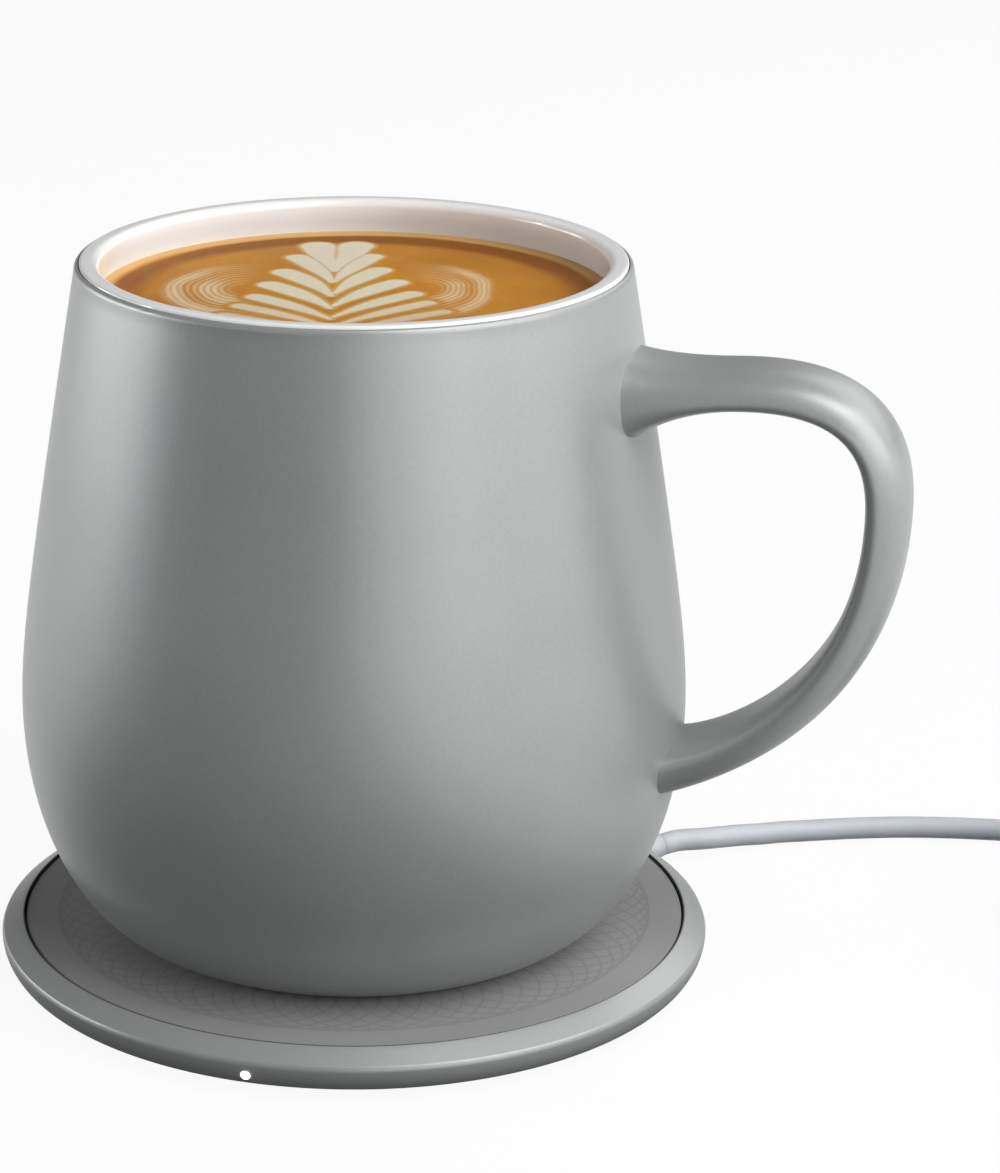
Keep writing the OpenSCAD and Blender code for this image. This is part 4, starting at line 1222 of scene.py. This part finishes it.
FLOOR_HALF = 4.0
FLOOR_DROP = 0.0002
MIRROR_LEVEL = 0.2
MIRROR_FRONT = 0.12
MIRROR_BACK = 1.0
MIRROR_RIGHT = 1.0
BACK_FROM, BACK_TO = -0.04, 0.05
RIGHT_FROM, RIGHT_TO = 0.045, 0.1
FLOOR_GLOW = 0.93
FLOOR_SEEN = 0.9
FLOOR_BOUNCE = 0.08
WORLD_LIGHT = 0.02


def seen_rays(nodes, level=MIRROR_LEVEL):
    """1 on rays from the camera or through glass, a level on mirrored rays, 0 on the rest."""
    path = nodes.node("ShaderNodeLightPath").outputs
    total = nodes.math("MULTIPLY", path["Is Glossy Ray"], level)
    for name in ("Is Camera Ray", "Is Transmission Ray"):
        total = nodes.math("MAXIMUM", total, path[name])
    return total


def floor_grade(nodes):
    """Floor level in mirrored rays: low in front of the mug, white behind it and to its right."""
    place = nodes.node("ShaderNodeNewGeometry").outputs["Position"]
    grades = []
    for heading, low, high, level in (
        ((-VIEW_SIN, VIEW_COS, 0), BACK_FROM, BACK_TO, MIRROR_BACK),
        ((VIEW_COS, VIEW_SIN, 0), RIGHT_FROM, RIGHT_TO, MIRROR_RIGHT),
    ):
        along = nodes.node("ShaderNodeVectorMath", {0: place, 1: heading}, operation="DOT_PRODUCT")
        grades.append(nodes.ramp(along.outputs["Value"], MIRROR_FRONT, level, low, high, "SMOOTHSTEP"))
    return nodes.math("MAXIMUM", *grades)


def floor_material():
    made = bpy.data.materials.new("pale floor")
    made.use_nodes = True
    nodes = Nodes(made.node_tree)
    nodes.tree.nodes.clear()
    seen = seen_rays(nodes, floor_grade(nodes))
    matte = nodes.node("ShaderNodeBsdfDiffuse", {"Color": nodes.ramp(seen, FLOOR_BOUNCE, FLOOR_SEEN)})
    glow = nodes.node("ShaderNodeEmission", {"Strength": seen})
    share = nodes.math("MULTIPLY", nodes.math("GREATER_THAN", seen), FLOOR_GLOW)
    blend = nodes.node("ShaderNodeMixShader", {0: share, 1: matte.outputs[0], 2: glow.outputs[0]})
    nodes.node("ShaderNodeOutputMaterial", {"Surface": blend.outputs[0]})
    return made


floor_corners = [(x * FLOOR_HALF, y * FLOOR_HALF, 0) for x, y in ((-1, -1), (1, -1), (1, 1), (-1, 1))]
floor_data = bpy.data.meshes.new("floor")
floor_data.from_pydata(floor_corners, [], [(0, 1, 2, 3)])
floor_data.materials.append(floor_material())
floor = bpy.data.objects.new("floor", floor_data)
floor.location.z = -FLOOR_DROP
scene.collection.objects.link(floor)

world = bpy.data.worlds.new("studio")
scene.world = world
world.use_nodes = True
studio = Nodes(world.node_tree)
backdrop = studio.tree.nodes["Background"].inputs
studio.feed(backdrop["Color"], (1, 1, 1, 1))
studio.feed(backdrop["Strength"], studio.ramp(seen_rays(studio), WORLD_LIGHT, 1.0))

LAMP_DISTANCE = 1.0
LAMP_AIM_Z = 0.05
LAMPS = [
    # name, bearing to the right of the camera and rise in degrees, width and height in metres, power
    ("key", 55, 36, 1.1, 0.95, 9.7),
    ("front low", 25, 7, 0.93, 0.3, 1.5),
    ("right low", 85, 7, 1.1, 0.3, 1.2),
    ("left strip", -103, 7, 0.87, 0.28, 3.4),
    ("left back", -122, 9, 0.35, 0.3, 0.5),
    ("left fill", -45, 24, 1.0, 0.6, 0.45),
    ("back right", 128, 36, 0.9, 0.7, 3.0),
    ("top", 45, 62, 0.45, 0.45, 2.4),
]
SPOT_TURN = -95
SPOT_RISE = 13
SPOT_POWER = 24.0
SPOT_AIM_Z = 0.110


def lamp(name, kind, turn_deg, rise_deg, power, aim_z):
    """A lamp that faces a point of the mug's axis."""
    data = bpy.data.lights.new(name, kind)
    data.energy = power
    turn = VIEW_AZIMUTH - math.pi / 2 + math.radians(turn_deg)
    rise = math.radians(rise_deg)
    offset = Vector((math.cos(turn) * math.cos(rise), math.sin(turn) * math.cos(rise), math.sin(rise)))
    made = bpy.data.objects.new(name, data)
    made.location = Vector((0, 0, aim_z)) + offset * LAMP_DISTANCE
    made.rotation_euler = offset.to_track_quat("Z", "Y").to_euler()
    scene.collection.objects.link(made)
    return data


for name, turn_deg, rise_deg, width, height, power in LAMPS:
    panel = lamp(name, "AREA", turn_deg, rise_deg, power, LAMP_AIM_Z)
    panel.shape = "RECTANGLE"
    panel.size = width
    panel.size_y = height
spot = lamp("mouth spot", "SPOT", SPOT_TURN, SPOT_RISE, SPOT_POWER, SPOT_AIM_Z)
spot.color = (0.86, 0.94, 1.0)
spot.spot_size = math.radians(7.0)
spot.spot_blend = 0.6
spot.shadow_soft_size = 0.12
